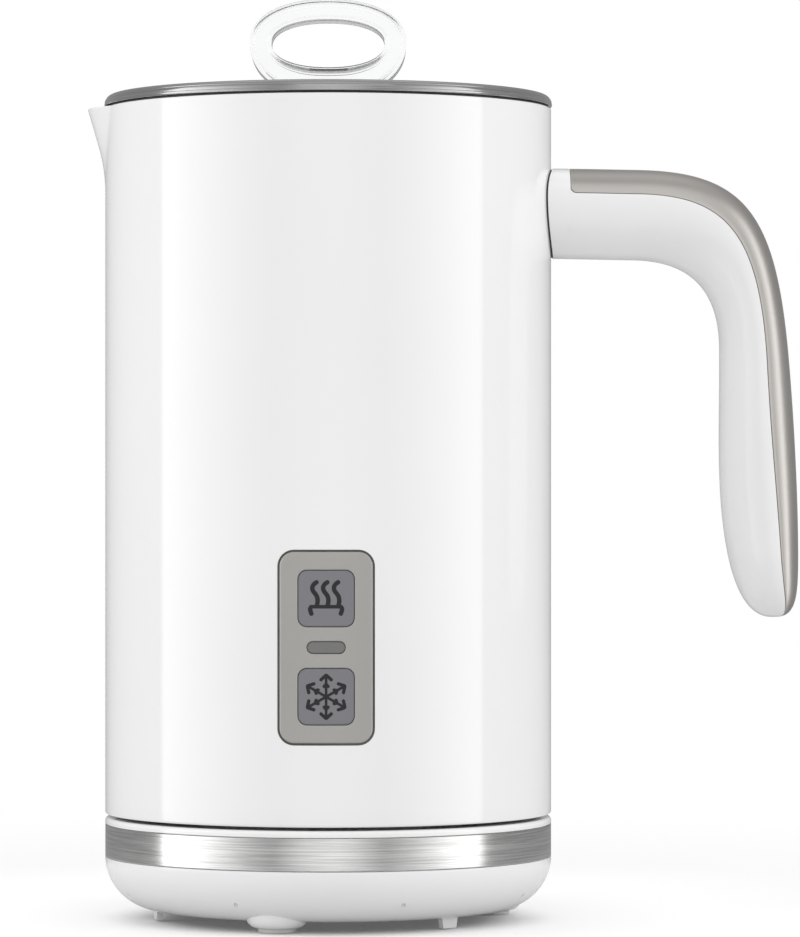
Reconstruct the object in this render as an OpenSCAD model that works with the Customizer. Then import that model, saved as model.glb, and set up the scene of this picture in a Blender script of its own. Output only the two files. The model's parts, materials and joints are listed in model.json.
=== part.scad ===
// Electric milk frother: a jug with a heater and a magnetic whisk that lifts off a turning base.
// All heights are measured from the surface that the feet stand on, and the front faces -Y.
// Every module is drawn about the jug's own axis and then moved by on_axis().

/* [Jug] */
// Outer diameter of the jug body
jug_d = 95; // [88:0.5:104]
// Height of the jug body, from its bottom edge to its rim
jug_h = 149.8; // [140:0.1:165]
// Wall of the moulded jug body
jug_wall = 2.2; // [1.8:0.1:2.6]
// Rounding of the bottom edge of the jug body
jug_edge = 1.5; // [0.8:0.1:2]
// Thickness of the cover that closes the jug from below
bottom_cover_t = 2.5; // [2.2:0.1:3.5]

/* [Spout] */
// How far the pouring lip stands out from the jug wall
spout_reach = 3.8; // [2.5:0.1:6]
// Height of the spout below the rim, where it leaves the wall
spout_drop = 13; // [9:0.5:20]
// Radius of the pouring lip at the rim
spout_r = 15.3; // [13:0.1:18]

/* [Pot] */
// Distance from the jug's outer face in to the pot's inner face
pot_inset = 8; // [7.8:0.1:10]
// Sheet thickness of the pot
pot_wall = 0.8; // [0.6:0.1:1.2]
// Height of the space for motor and heater, from the jug's bottom edge to the pot's floor
machine_h = 43.5; // [43.4:0.1:50]
// Inner rounding where the pot's wall meets its floor
pot_corner = 8; // [5:0.5:12]

/* [Base] */
// Height of the base's top face above the floor
base_h = 21.8; // [21:0.1:26]
// Gap seen between the base and the jug
jug_gap = 0.7; // [0.5:0.05:1.2]
// Height of the base's underside above the floor
base_clear = 2.3; // [1.8:0.1:3.5]
// Height of the steel trim band
band_h = 7; // [4:0.1:7.5]
// Thickness of the steel trim band
band_t = 0.6; // [0.4:0.05:0.8]
// Distance from the band down from the base's top face
band_drop = 1.4; // [1.2:0.1:2.5]
// Wall of the base mouldings
base_wall = 2; // [1.6:0.1:2.4]
// Radius of the spool that the cord winds on
spool_r = 17; // [15:0.5:20]
// Distance from the jug's outer face in to the cord groove's outer wall
groove_inset = 13.5; // [12.5:0.5:16]

/* [Feet] */
// Distance from the jug's outer face in to each foot's centre
foot_inset = 11.6; // [10:0.1:12.5]
// Diameter of a foot's moulded boss
foot_d = 13; // [12:0.5:14]
// Diameter of a rubber foot pad
pad_d = 8; // [7:0.5:9]
// Height of the boss above the floor
foot_lift = 1; // [0.6:0.1:1.5]
// Direction of the first foot
foot_angle = 13.5; // [0:0.5:40]
// Distance from the jug's outer face in to each cord hook
hook_inset = 10.7; // [9:0.1:11.5]
// Direction of the first cord hook
hook_angle = 73; // [60:1:85]

/* [Connector] */
// Outer diameter of the base's connector collar
collar_d = 33.6; // [32:0.2:34.4]
// Height of the collar above the jug's underside
collar_h = 11; // [9:0.5:12]
// Clearance round the collar inside the jug
collar_gap = 0.8; // [0.6:0.1:1.2]
// Inner diameter of the glide ring that the jug turns on
glide_d = 60; // [56:1:62]
// Radial width of the glide ring
glide_w = 6; // [4:0.5:7]
// How deep the glide ring sits in the base
glide_sink = 1.2; // [0.8:0.1:1.4]

/* [Control panel] */
// Width of the control panel
panel_w = 19.1; // [18:0.1:24]
// Height of the control panel
panel_h = 39.1; // [38:0.1:46]
// Corner radius of the control panel
panel_corner = 3; // [1.5:0.5:5]
// Height of the panel's centre above the floor
panel_z = 59.2; // [57:0.1:62]
// How far the panel stands proud of the jug
panel_proud = 0.2; // [0.1:0.05:0.6]
// Width of the dark seal round the panel
panel_seal = 0.4; // [0.3:0.05:0.8]
// Side of a square button
button_w = 11.5; // [10:0.5:12]
// Corner radius of a button
button_corner = 1.5; // [0.8:0.1:3]
// Distance of each button's centre from the panel's centre
button_pitch = 10; // [9:0.1:11]
// Length of the status light window
lamp_w = 7.8; // [6:0.1:8.4]
// Height of the status light window
lamp_h = 2.4; // [1.8:0.1:3]

/* [Handle] */
// Reach of the handle from the jug's axis
handle_reach = 100.1; // [94:0.1:108]
// Distance of the handle's top below the jug's rim
handle_drop = 12.6; // [8:0.1:20]
// Height of the handle's root
root_h = 19.2; // [17:0.1:22]
// Width of the handle
handle_w = 23.2; // [20:0.2:26]
// Thickness of the grip
grip_t = 14.8; // [13:0.1:17]
// Length of the handle from top to tip
handle_len = 95.5; // [88:0.1:104]
// Share of the handle's thickness taken by the outer cover
cover_share = 0.296; // [0.24:0.002:0.32]
// Extra share of the cover where the grip begins
cover_swell = 0.078; // [0:0.002:0.08]
// Wall of the handle mouldings
handle_wall = 2.2; // [1.8:0.1:2.8]
// Thickness of the seal between handle and jug
handle_seal_t = 0.4; // [0.3:0.1:1]
// Distance of the cover's end from the jug wall
cover_start = 3.7; // [3:0.1:8]

/* [Lid] */
// Thickness of the lid disc
lid_t = 2.35; // [1.8:0.05:4]
// How far the lid stands out past the jug wall
lid_lip = 0.2; // [0:0.05:0.6]
// Rounding of the lid's top edge
lid_edge = 1.6; // [0.6:0.1:1.7]
// Thickness of the seal between lid and rim
lid_seal_t = 0.45; // [0.3:0.05:0.8]
// Depth of the lid's plug inside the pot
plug_depth = 7; // [6:0.5:10]

/* [Knob] */
// Length of the knob loop
knob_l = 33.2; // [30:0.2:40]
// Height of the knob loop above the lid
knob_h = 20.4; // [18:0.1:24]
// Depth of the knob loop from front to back
knob_w = 10; // [8:0.2:13]
// Length of the finger hole in the knob
knob_hole_l = 24; // [20:0.2:25]
// Height of the finger hole in the knob
knob_hole_h = 10; // [8:0.1:11]
// Height of the knob's upper half, above its widest line
knob_rise = 9.3; // [8:0.1:10]
// Thickness of the knob's top bar
knob_bar = 4.4; // [3:0.1:5]
// Roundness of the knob's cross-section, from square to oval
knob_soft = 0.42; // [0.3:0.02:1]

/* [Drive] */
// Diameter of the motor
motor_d = 24.4; // [22:0.2:28]
// Height of the motor
motor_h = 17.8; // [15:0.1:18]
// Diameter of the motor shaft
shaft_d = 2.3; // [2:0.1:3.2]
// Diameter of the magnet carrier under the pot
carrier_d = 30; // [28:0.5:33]
// Diameter of each drive magnet
magnet_d = 9; // [7:0.5:9.5]
// Distance of each drive magnet from the axis
magnet_r = 9.5; // [9:0.1:10]
// Distance from the pot's inner face in to the heater tube's ring
heater_inset = 12.5; // [11:0.5:14]
// Diameter of the heater tube
heater_tube_d = 6; // [5:0.1:6.2]

/* [Whisk] */
// Diameter of the post that the whisk turns on
post_d = 5; // [4:0.1:6]
// Diameter of the whisk's disc
whisk_d = 27; // [25:0.5:32]
// Radius of the coil spring's ring
coil_r = 11.5; // [10.5:0.1:14]
// Outer diameter of the coil itself
coil_d = 5.6; // [4:0.1:6.5]
// Diameter of the coil's wire
wire_d = 0.9; // [0.7:0.1:1.1]
// Number of turns in the coil
coil_turns = 34; // [24:1:40]

/* [Fasteners] */
// Diameter of the housing screws
screw_d = 2.8; // [2.5:0.1:3]
// Diameter of the housing screws' heads
screw_head_d = 5.6; // [5:0.1:6]
// Diameter of the two handle screws
handle_screw_d = 3.8; // [3.4:0.1:4]

/* [Clearances] */
// Clearance of a fixed piece in its seat
fit = 0.05; // [0.02:0.01:0.1]
// Clearance round a button, the lid plug or another sliding piece
slide_gap = 0.25; // [0.2:0.05:0.4]
// Clearance of a shaft or post in its bore
bore_gap = 0.1; // [0.05:0.01:0.15]
// Seam left between two outer mouldings
seam = 0.15; // [0.1:0.05:0.2]

/* [Hidden] */
$fn = 64;
eps = 0.01;

// Jug
jug_r = jug_d / 2;
jug_in_r = jug_r - jug_wall;
jug_z = base_h + jug_gap;
rim_z = jug_z + jug_h;
cover_r = jug_in_r - 4 * fit;
cover_top = jug_z + bottom_cover_t;
boss_r = 3.5;
boss_ring_r = jug_in_r + 0.2 - boss_r;
boss_h = 13;
head_sink = 0.9;
head_t = 1.4;
boss_angles = [60, 180, 300];

// Spout: an upright cone whose axis stands inside the wall
spout_x = -(jug_r + spout_reach - spout_r);
spout_slope = spout_reach / spout_drop;

// Pot
pot_r = jug_r - pot_inset;
pot_out_r = pot_r + pot_wall;
floor_z = jug_z + machine_h;
pot_under = floor_z - pot_wall * 1.5;
pot_seal_t = 0.5;
ledge_w = 1.9;
ledge_t = 2;
ledge_top = rim_z - pot_wall - pot_seal_t;
spout_skin = jug_wall + 6 * fit;

// The whole object is centred on its own bounding box, so the jug's axis stands left of the middle.
axis_x = (jug_r + spout_reach - handle_reach) / 2;

// Base
band_top = base_h - band_drop;
band_z = band_top - band_h;
plate_t = 2.8;
plate_z = base_h - plate_t;
skirt_r = jug_r - band_t - fit;
bowl_r = band_z - base_clear;
groove_r = jug_r - groove_inset;
groove_top = 12;
foot_ring_r = jug_r - foot_inset;
hook_ring_r = jug_r - hook_inset;
foot_angles = [for (i = [0:2]) foot_angle + 120 * i];
hook_angles = [for (i = [0:2]) hook_angle + 120 * i];
hook_w = 4.9;
hook_t = 1.3;
hook_taper = 0.6;
hook_lift = 0.2;
pad_top = foot_lift + 1;
screw_seat = pad_top + 3;
cover_boss_z = band_z - 0.4;

// Connector
collar_r = collar_d / 2;
collar_top = jug_z + collar_h;
well_r = collar_r + collar_gap;
well_wall = 1.8;
well_top = collar_top + 1.1;
connector_top = well_top + well_wall;
connector_flange_t = 1.6;
connector_screw_r = well_r + well_wall + 2.2;
connector_screw_angles = [0, 120, 240];
socket_flange_r = collar_r + 3.7;
socket_z = groove_top + base_wall + 0.5;
grommet_z = (base_clear + base_wall + groove_top) / 2;
grommet_r = 3.1;
grommet_lip = 0.7;
notch_r = grommet_r + 0.5;
pin_r = 2.3;
ring_r = 9.6;
ring_t = 0.8;
slot_r0 = ring_r - 1;
slot_r1 = ring_r + 0.8;
pin_slot_r = pin_r + 0.5;
sleeve_t = 0.9;
sleeve_drop = 4.5;
socket_floor = socket_z + 1.6;
glide_r = glide_d / 2;

// Electronics in the jug's foot
board_z = cover_top + 6;
board_t = 1.6;
board_r0 = well_r + well_wall + 4.4;
board_r1 = boss_ring_r - boss_r - 1.5;
board_mid = (board_r0 + board_r1) / 2;
stake_angles = [45, 165, 285];
stake_r = 2.5;
stake_tip_r = 1.2;
relay_size = [10, 16, 14];
filter_size = [6, 13, 10];
capacitor_r = 4.2;
capacitor_h = 12;

// Drive and heater, stacked down from the pot's floor
plate_h = 2;
heater_plate_z = pot_under - plate_h;
bracket_t = 1.4;
bracket_z = heater_plate_z - heater_tube_d - bracket_t - 0.4;
motor_top = bracket_z;
motor_edge = 1.5;
motor_nose_r = shaft_d / 2 + 2.5;
stud_r = pot_r - 5.5;
heater_r = pot_r - heater_inset;
stud_angles = [90, 210, 330];
stud_pad_r = 5;
carrier_h = 4;
carrier_top = pot_under - 0.8;
carrier_z = carrier_top - carrier_h;
carrier_floor = 0.8;

// Whisk
post_h = 10;
whisk_z = floor_z + 1.4;
whisk_disc_h = 4.6;
whisk_top = floor_z + 14;
coil_z = whisk_z + whisk_disc_h + coil_d / 2 + wire_d / 2 + 0.1;
hub_r = post_d / 2 + 2.2;
rim_boss_r = coil_r - coil_d / 2 - wire_d / 2 - 0.2;
whisk_magnet_r = 4;
whisk_magnet_h = 3;
magnet_cover = 0.2;

// Panel
panel_r = jug_r + panel_proud;
panel_back = jug_in_r - 0.1;
flange_w = 1.8;
hot_z = panel_z + button_pitch;
cold_z = panel_z - button_pitch;
flange_t = 0.9;
button_room = flange_t + 2 * fit;
board_y = pot_out_r + 1.4;
board_front = board_y + 1;
switch_w = 6;
switch_t = 0.8;
screw_x = 6.5;
post_r = 1.9;
board_screw_r = 0.85;
key_board_w = panel_w - 2;
key_board_h = panel_h - 6;

// Handle: an outer and an inner side line, each a chain of knots [x, z, heading, pull in, pull out]
handle_top = rim_z - handle_drop;
root_x = jug_r - 3;
bend_x = 66;
run = (bend_x - root_x) / 3;
grip_z = handle_top - 41.5;
tip_z = handle_top - handle_len;
heel_z = tip_z + 12.9;
tip_x = handle_reach - 4.7;
outer_line = [
    [root_x, handle_top, 0, 0, run],
    [bend_x, handle_top - 0.3, -1, run, 23.4],
    [handle_reach - 1.9, grip_z, -85.2, 31.6, 13.5],
    [handle_reach, heel_z, -90, 12.3, 8.3],
    [tip_x, tip_z, 180, 4.4, 0]
];
inner_line = [
    [root_x, handle_top - root_h, 0, 0, run],
    [bend_x - 1, handle_top - root_h - 0.3, -1, run, 8.9],
    [handle_reach - 1.9 - grip_t, grip_z + 3.3, -89.5, 15.3, 15.6],
    [handle_reach - grip_t, heel_z, -78, 13.7, 14.6],
    [tip_x, tip_z, 0, 1.2, 0]
];
half_steps = 10;
run_steps = 20;
cover_u = (jug_r + cover_start - root_x) / (bend_x - root_x);
hollow_u = 0.8;
hollow_end = 3.15;
handle_screw_z = handle_top - root_h + 7;
handle_screw_y = 5.5;
handle_screw_l = 15;
handle_screw_r = handle_screw_d / 2 + bore_gap;
root_depth = 12;
bracket_w = 22;
bracket_h = 12;
bracket_sheet = 1.2;
bracket_pad_r = 4.2;
bracket_pad_t = 1.4;
handle_seat_x = jug_in_r - 2.3;

// Lid
lid_r = jug_r + lid_lip;
lid_z = rim_z + lid_seal_t;
lid_top = lid_z + lid_t;
plug_r = pot_r - 1.2;
plug_wall = 2;
plug_plate = 1.5;
knob_hole_z = lid_top + knob_h - knob_bar - knob_hole_h / 2;
knob_mid_z = lid_top + knob_h - knob_rise;
knob_sink = 0.4;

// ---------- helpers ----------

module on_axis() {
    translate([axis_x, 0, 0])
        children();
}

module rod(r, z0, z1) {
    translate([0, 0, z0])
        cylinder(r = r, h = z1 - z0);
}

module tube(r_out, r_in, z0, z1) {
    difference() {
        rod(r_out, z0, z1);
        rod(r_in, z0 - 1, z1 + 1);
    }
}

module around(angles, r) {
    for (a = angles)
        rotate(a)
            translate([r, 0, 0])
                children();
}

function arc(x, y, r, from, to, steps = 8) = [
    for (i = [0:steps])
        let (a = from + (to - from) * i / steps)
            [x + r * cos(a), y + r * sin(a)]
];

function rounded_rect(w, h, r) = [
    for (q = [0:3], p = arc((w / 2 - r) * cos(90 * q + 45) * sqrt(2),
        (h / 2 - r) * sin(90 * q + 45) * sqrt(2), r, 90 * q, 90 * q + 90, 6))
        p
];

// A rounded-rectangle prism that runs from the axis out through the front wall
module front_prism(w, h, r, z) {
    translate([0, 0, z])
        rotate([90, 0, 0])
            linear_extrude(height = jug_r + 5)
                polygon(rounded_rect(w, h, r));
}

// A slab of that outline, curved with the jug wall between two radii
module front_slab(w, h, r, z, r_in, r_out) {
    intersection() {
        tube(r_out, r_in, z - h, z + h);
        front_prism(w, h, r, z);
    }
}

// A rod that points out of the front, between two distances from the axis
module front_rod(x, z, r, y0, y1) {
    translate([x, -y0, z])
        rotate([90, 0, 0])
            cylinder(r = r, h = y1 - y0);
}

// ---------- jug ----------

// The spout's cone, drawn in by an inset, from inside the wall up to a height
module spout_cone(inset, top) {
    low = rim_z - (spout_r - inset - 2) / spout_slope;
    translate([spout_x, 0, low])
        cylinder(r1 = 2, r2 = 2 + (top - low) * spout_slope, h = top - low);
}

module jug_shell() {
    color("white") on_axis() {
        difference() {
            union() {
                rotate_extrude()
                    polygon(concat(
                        [[0, jug_z]],
                        arc(jug_r - jug_edge, jug_z + jug_edge, jug_edge, -90, 0),
                        [[jug_r, rim_z], [0, rim_z]]
                    ));
                spout_cone(0, rim_z);
            }
            rod(jug_in_r, jug_z - 1, rim_z + 1);
            spout_cone(jug_wall, rim_z + 1);
            front_prism(
                panel_w + 2 * panel_seal,
                panel_h + 2 * panel_seal,
                panel_corner + panel_seal,
                panel_z
            );
            for (side = [-1, 1])
                translate([root_x - 4, side * handle_screw_y, handle_screw_z])
                    rotate([0, 90, 0])
                        cylinder(r = handle_screw_r, h = root_depth);
        }
        difference() {
            tube(jug_in_r + 0.4, jug_in_r - ledge_w, ledge_top - ledge_t, ledge_top);
            spout_cone(jug_wall, rim_z + 1);
        }
        around(boss_angles, boss_ring_r)
            tube(boss_r, screw_d / 2 + fit, cover_top, cover_top + boss_h);
    }
}

module bottom_cover() {
    color("gainsboro") on_axis() {
        difference() {
            rod(cover_r, jug_z, cover_top);
            rod(well_r, jug_z - 1, cover_top + 1);
            around(boss_angles, boss_ring_r) {
                rod(screw_d / 2 + bore_gap, jug_z - 1, cover_top + 1);
                rod(screw_head_d / 2 + bore_gap, jug_z - 1, cover_top - head_sink);
            }
            around(connector_screw_angles, connector_screw_r)
                rod(screw_d / 2 + fit, cover_top - 1.6, cover_top + 1);
        }
        around(stake_angles, board_mid) {
            rod(stake_r, cover_top, board_z);
            rod(stake_tip_r, board_z, board_z + board_t + 0.6);
        }
    }
}

module screw(shank_r, head_r, head_h, length) {
    translate([0, 0, -head_h])
        cylinder(r = head_r, h = head_h);
    cylinder(r = shank_r, h = length);
}

module bottom_screws() {
    color("silver") on_axis()
        around(boss_angles, boss_ring_r)
            translate([0, 0, cover_top - head_sink])
                screw(screw_d / 2, screw_head_d / 2, head_t, boss_h - 4);
}

module jug_connector() {
    color("dimgray") on_axis() {
        difference() {
            union() {
                rod(well_r + well_wall, cover_top, connector_top);
                rod(connector_screw_r + 2.6, cover_top, cover_top + connector_flange_t);
            }
            rod(well_r, cover_top - 1, well_top);
            rod(pin_r + fit, well_top - 1, connector_top + 1);
            tube(ring_r + ring_t / 2 + fit, ring_r - ring_t / 2 - fit, well_top - 1, connector_top - 0.4);
            around(connector_screw_angles, connector_screw_r)
                rod(screw_d / 2 + bore_gap, cover_top - 1, cover_top + 3);
        }
    }
}

module connector_screws() {
    color("silver") on_axis()
        around(connector_screw_angles, connector_screw_r)
            translate([0, 0, cover_top + connector_flange_t])
                mirror([0, 0, 1])
                    screw(screw_d / 2, screw_head_d / 2 - 0.6, head_t, connector_flange_t + 1.4);
}

module plug_contacts() {
    color("goldenrod") on_axis() {
        rod(pin_r, cover_top - 0.5, connector_top);
        tube(ring_r + ring_t / 2, ring_r - ring_t / 2, cover_top + 0.5, connector_top - 0.6);
    }
}

module power_board() {
    color("darkgreen") on_axis()
        difference() {
            tube(board_r1, board_r0, board_z, board_z + board_t);
            around(stake_angles, board_mid)
                rod(stake_tip_r + fit, board_z - 1, board_z + board_t + 1);
        }
}

module board_relay() {
    color("royalblue") on_axis()
        rotate(90)
            translate([board_mid - relay_size[0] / 2, -relay_size[1] / 2, board_z + board_t])
                cube(relay_size);
}

module board_capacitors() {
    color("saddlebrown") on_axis() {
        around([0, 325], board_mid)
            rod(capacitor_r, board_z + board_t, board_z + board_t + capacitor_h);
        rotate(205)
            translate([board_mid - filter_size[0] / 2, -filter_size[1] / 2, board_z + board_t])
                cube(filter_size);
    }
}

// ---------- pot ----------

module pot_space(r, corner, z, inset, top) {
    rotate_extrude()
        polygon(concat(
            [[0, z]],
            arc(r - corner, z + corner, corner, -90, 0),
            [[r, top], [0, top]]
        ));
    spout_cone(inset, top);
}

module inner_pot() {
    color("dimgray") on_axis()
        difference() {
            union() {
                pot_space(pot_out_r, pot_corner + pot_wall, pot_under, spout_skin, rim_z);
                rod(jug_in_r - 4 * fit, rim_z - pot_wall, rim_z);
            }
            pot_space(pot_r, pot_corner, floor_z, spout_skin + pot_wall, rim_z + 1);
        }
}

module pot_seal() {
    color("black") on_axis()
        difference() {
            tube(jug_in_r - 4 * fit, jug_in_r - ledge_w + 4 * fit, ledge_top, ledge_top + pot_seal_t);
            spout_cone(jug_wall, rim_z + 1);
        }
}

module heater_plate() {
    color("silver") on_axis() {
        difference() {
            tube(stud_r + 2.4, carrier_d / 2 + 2, heater_plate_z, pot_under);
            around([270], heater_r)
                rod(4, heater_plate_z - 1, pot_under + 1);
        }
        around(stud_angles, stud_r)
            tube(2.2, screw_d / 2 + fit, bracket_z + bracket_t, heater_plate_z + eps);
    }
}

module heater_tube() {
    color("lightslategray") on_axis()
        translate([0, 0, heater_plate_z - heater_tube_d / 2 - fit])
            rotate(305)
                rotate_extrude(angle = 290)
                    translate([heater_r, 0])
                        circle(d = heater_tube_d);
}

module thermostat() {
    color("gold") on_axis()
        around([270], heater_r) {
            rod(6, heater_plate_z - 4.5, heater_plate_z);
            rod(3.8, heater_plate_z, pot_under);
        }
}

module thermal_fuse() {
    color("tan") on_axis()
        around([20], stud_r - 1)
            translate([0, 0, heater_plate_z - 2 - fit])
                rotate([90, 0, 0])
                    cylinder(r = 2, h = 11, center = true);
}

module motor_bracket() {
    color("lightgray") on_axis()
        difference() {
            union() {
                rod(motor_d / 2 + 2, bracket_z, bracket_z + bracket_t);
                for (a = stud_angles)
                    rotate(a)
                        translate([0, -stud_pad_r, bracket_z])
                            cube([stud_r, 2 * stud_pad_r, bracket_t]);
                around(stud_angles, stud_r)
                    rod(stud_pad_r, bracket_z, bracket_z + bracket_t);
            }
            rod(motor_nose_r + 0.5, bracket_z - 1, bracket_z + bracket_t + 1);
            around(stud_angles, stud_r)
                rod(screw_d / 2 + bore_gap, bracket_z - 1, bracket_z + bracket_t + 1);
        }
}

module bracket_screws() {
    color("silver") on_axis()
        around(stud_angles, stud_r)
            translate([0, 0, bracket_z])
                screw(screw_d / 2, screw_head_d / 2, 1.8, 7);
}

module motor_can() {
    color("gray") on_axis()
        difference() {
            union() {
                rotate_extrude()
                    polygon(concat(
                        [[0, motor_top - motor_h]],
                        arc(motor_d / 2 - motor_edge, motor_top - motor_h + motor_edge, motor_edge, -90, 0),
                        [[motor_d / 2, motor_top], [0, motor_top]]
                    ));
                rod(motor_nose_r, motor_top - eps, motor_top + 1);
            }
            rod(shaft_d / 2 + bore_gap, motor_top - 4, motor_top + 2);
        }
}

module motor_shaft() {
    color("lightgray") on_axis()
        rod(shaft_d / 2, motor_top - 3.8, carrier_top - 0.5);
}

module magnet_carrier() {
    color("darkslategray") on_axis()
        difference() {
            union() {
                rod(carrier_d / 2, carrier_z, carrier_top);
                rod(shaft_d / 2 + 2.4, carrier_z - 2, carrier_z + eps);
            }
            rod(shaft_d / 2 + fit / 2, carrier_z - 3, carrier_top + 1);
            around([0, 180], magnet_r)
                rod(magnet_d / 2 + fit, carrier_z + carrier_floor, carrier_top + 1);
        }
}

module drive_magnets() {
    color("silver") on_axis()
        around([0, 180], magnet_r)
            rod(magnet_d / 2, carrier_z + carrier_floor, carrier_top - 0.1);
}

// ---------- whisk ----------

module whisk_post() {
    color("silver") on_axis() {
        rod(post_d / 2 + 4, floor_z, floor_z + 0.8);
        rotate_extrude()
            polygon([
                [0, floor_z + 0.7],
                [post_d / 2, floor_z + 0.7],
                [post_d / 2, floor_z + post_h - 1],
                [post_d / 2 - 1, floor_z + post_h],
                [0, floor_z + post_h]
            ]);
    }
}

module whisk_carrier() {
    color("darkslategray") on_axis()
        difference() {
            rotate_extrude()
                polygon(concat(
                    [[0, whisk_z], [whisk_d / 2 - 0.8, whisk_z]],
                    [[whisk_d / 2, whisk_z + 0.8], [whisk_d / 2, whisk_z + whisk_disc_h - 0.6]],
                    [[whisk_d / 2 - 0.6, whisk_z + whisk_disc_h], [rim_boss_r, whisk_z + whisk_disc_h]],
                    [[rim_boss_r, coil_z + 1], [hub_r, coil_z + 2.2], [hub_r, whisk_top - 1.5]],
                    [[hub_r - 1.5, whisk_top], [0, whisk_top]]
                ));
            rod(post_d / 2 + bore_gap, whisk_z - 1, floor_z + post_h + 0.6);
            around([0, 180], magnet_r)
                rod(whisk_magnet_r + fit, whisk_z - 1, whisk_z + magnet_cover + whisk_magnet_h);
        }
}

module whisk_magnets() {
    color("silver") on_axis()
        around([0, 180], magnet_r)
            rod(whisk_magnet_r, whisk_z + magnet_cover, whisk_z + magnet_cover + whisk_magnet_h);
}

// A coil spring bent into a closed ring: the wire winds round a circle as that circle goes round the hub
coil_steps = 10;
wire_sides = 6;
coil_count = coil_turns * coil_steps;

function coil_point(k) =
    let (round_hub = 360 * k / coil_count, round_ring = 360 * k / coil_steps)
        let (reach = coil_r + coil_d / 2 * cos(round_ring))
            [reach * cos(round_hub), reach * sin(round_hub), coil_d / 2 * sin(round_ring)];

function unit(v) = v / norm(v);

function coil_ring(k) =
    let (round_hub = 360 * k / coil_count, round_ring = 360 * k / coil_steps)
        let (along = unit(coil_point(k + 0.5) - coil_point(k - 0.5)))
            let (out = [cos(round_ring) * cos(round_hub), cos(round_ring) * sin(round_hub), sin(round_ring)])
                let (side = unit(cross(along, out)), up = cross(side, along))
                    [
                        for (j = [0:wire_sides - 1])
                            let (a = 360 * j / wire_sides)
                                coil_point(k) + wire_d / 2 * (cos(a) * up + sin(a) * side)
                    ];

// Faces of a tube made of equal rings of points, without its ends
function tube_faces(rings, count, closed) = [
    for (i = [0:rings - (closed ? 1 : 2)], j = [0:count - 1], half = [0:1])
        let (a = i * count, b = ((i + 1) % rings) * count, n = (j + 1) % count)
            half == 0 ? [a + j, b + j, b + n] : [a + j, b + n, a + n]
];

// Faces that close one ring, as a ladder between its first half and its second half
function cap_faces(first, count, flip) = [
    for (i = [0:count / 2 - 1], half = [0:1])
        let (far = i == 0 ? 0 : count - i, near = count - i - 1)
            if (half == 0 ? i < count / 2 - 1 : i > 0)
                let (f = half == 0 ? [i, i + 1, near] : [i, near, far])
                    [for (k = flip ? [2, 1, 0] : [0, 1, 2]) first + f[k]]
];

module whisk_coil() {
    color("silver") on_axis()
        translate([0, 0, coil_z])
            polyhedron(
                points = [for (k = [0:coil_count - 1], p = coil_ring(k)) p],
                faces = tube_faces(coil_count, wire_sides, true),
                convexity = 6
            );
}

// ---------- base ----------

module base_lower_shell() {
    inner_r = bowl_r - base_wall;
    bowl_x = jug_r - bowl_r;
    color("white") on_axis() {
        difference() {
            union() {
                rotate_extrude()
                    polygon(concat(
                        [[0, base_clear], [spool_r, base_clear], [spool_r, groove_top]],
                        [[groove_r, groove_top], [groove_r, base_clear]],
                        arc(bowl_x, band_z, bowl_r, -90, 0, 12),
                        arc(bowl_x, band_z, inner_r, 0, -84, 10),
                        [[groove_r + base_wall, base_clear + base_wall + 0.1]],
                        [[groove_r + base_wall, groove_top + base_wall]],
                        [[spool_r - base_wall, groove_top + base_wall]],
                        [[spool_r - base_wall, base_clear + base_wall], [0, base_clear + base_wall]]
                    ));
                around(foot_angles, foot_ring_r)
                    rotate_extrude()
                        polygon(concat(
                            [[0, foot_lift]],
                            arc(foot_d / 2 - 2.4, foot_lift + 2.4, 2.4, -90, 0, 6),
                            [[foot_d / 2, groove_top + 0.5], [foot_d / 2 - 2, cover_boss_z], [0, cover_boss_z]]
                        ));
                around(hook_angles, hook_ring_r)
                    cord_hook();
                intersection() {
                    cord_notch(base_wall);
                    difference() {
                        rotate_extrude()
                            polygon(concat(arc(bowl_x, band_z, bowl_r - 0.5, -90, 0, 12), [[bowl_x, band_z]]));
                        rod(groove_r + 0.5, 0, band_z);
                    }
                }
            }
            around(foot_angles, foot_ring_r) {
                rod(pad_d / 2 + 2 * fit, 0, pad_top);
                rod(screw_head_d / 2 + bore_gap, 0, screw_seat);
                rod(screw_d / 2 + bore_gap, 0, cover_boss_z + 1);
                rod(boss_r + slide_gap, cover_boss_z, band_z + 1);
            }
            cord_notch(0);
            translate([0, spool_r - base_wall - 2, grommet_z])
                rotate([-90, 0, 0])
                    cylinder(r = grommet_r, h = base_wall + 4);
        }
    }
}

// A blade under the groove's rim that keeps the wound cord in place
module cord_hook() {
    translate([-hook_t / 2, 0, 0])
        rotate([90, 0, 90])
            linear_extrude(height = hook_t)
                polygon([
                    [-hook_w / 2 + hook_taper, hook_lift],
                    [hook_w / 2 - hook_taper, hook_lift],
                    [hook_w / 2, base_clear + 1.5],
                    [-hook_w / 2, base_clear + 1.5]
                ]);
}

// The way out for the cord at the back of the base, or with an allowance, the wall round it
module cord_notch(allowance) {
    r = notch_r + allowance;
    translate([0, groove_r - 2, grommet_z])
        rotate([-90, 0, 0])
            cylinder(r = r, h = 20);
    translate([-r, groove_r - 2, 0])
        cube([2 * r, 20, grommet_z]);
}

module cord_grommet() {
    color("black") on_axis()
        translate([0, 0, grommet_z])
            rotate([-90, 0, 0])
                difference() {
                    union() {
                        rod(grommet_r - fit, spool_r - base_wall - 1.7, spool_r + 1.2);
                        rod(grommet_r + grommet_lip, spool_r, spool_r + 1.2);
                        rod(grommet_r + grommet_lip, spool_r - base_wall - 1.7, spool_r - base_wall - 0.5);
                    }
                    rod(grommet_r - 0.5, 0, spool_r + 3);
                }
}

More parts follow.
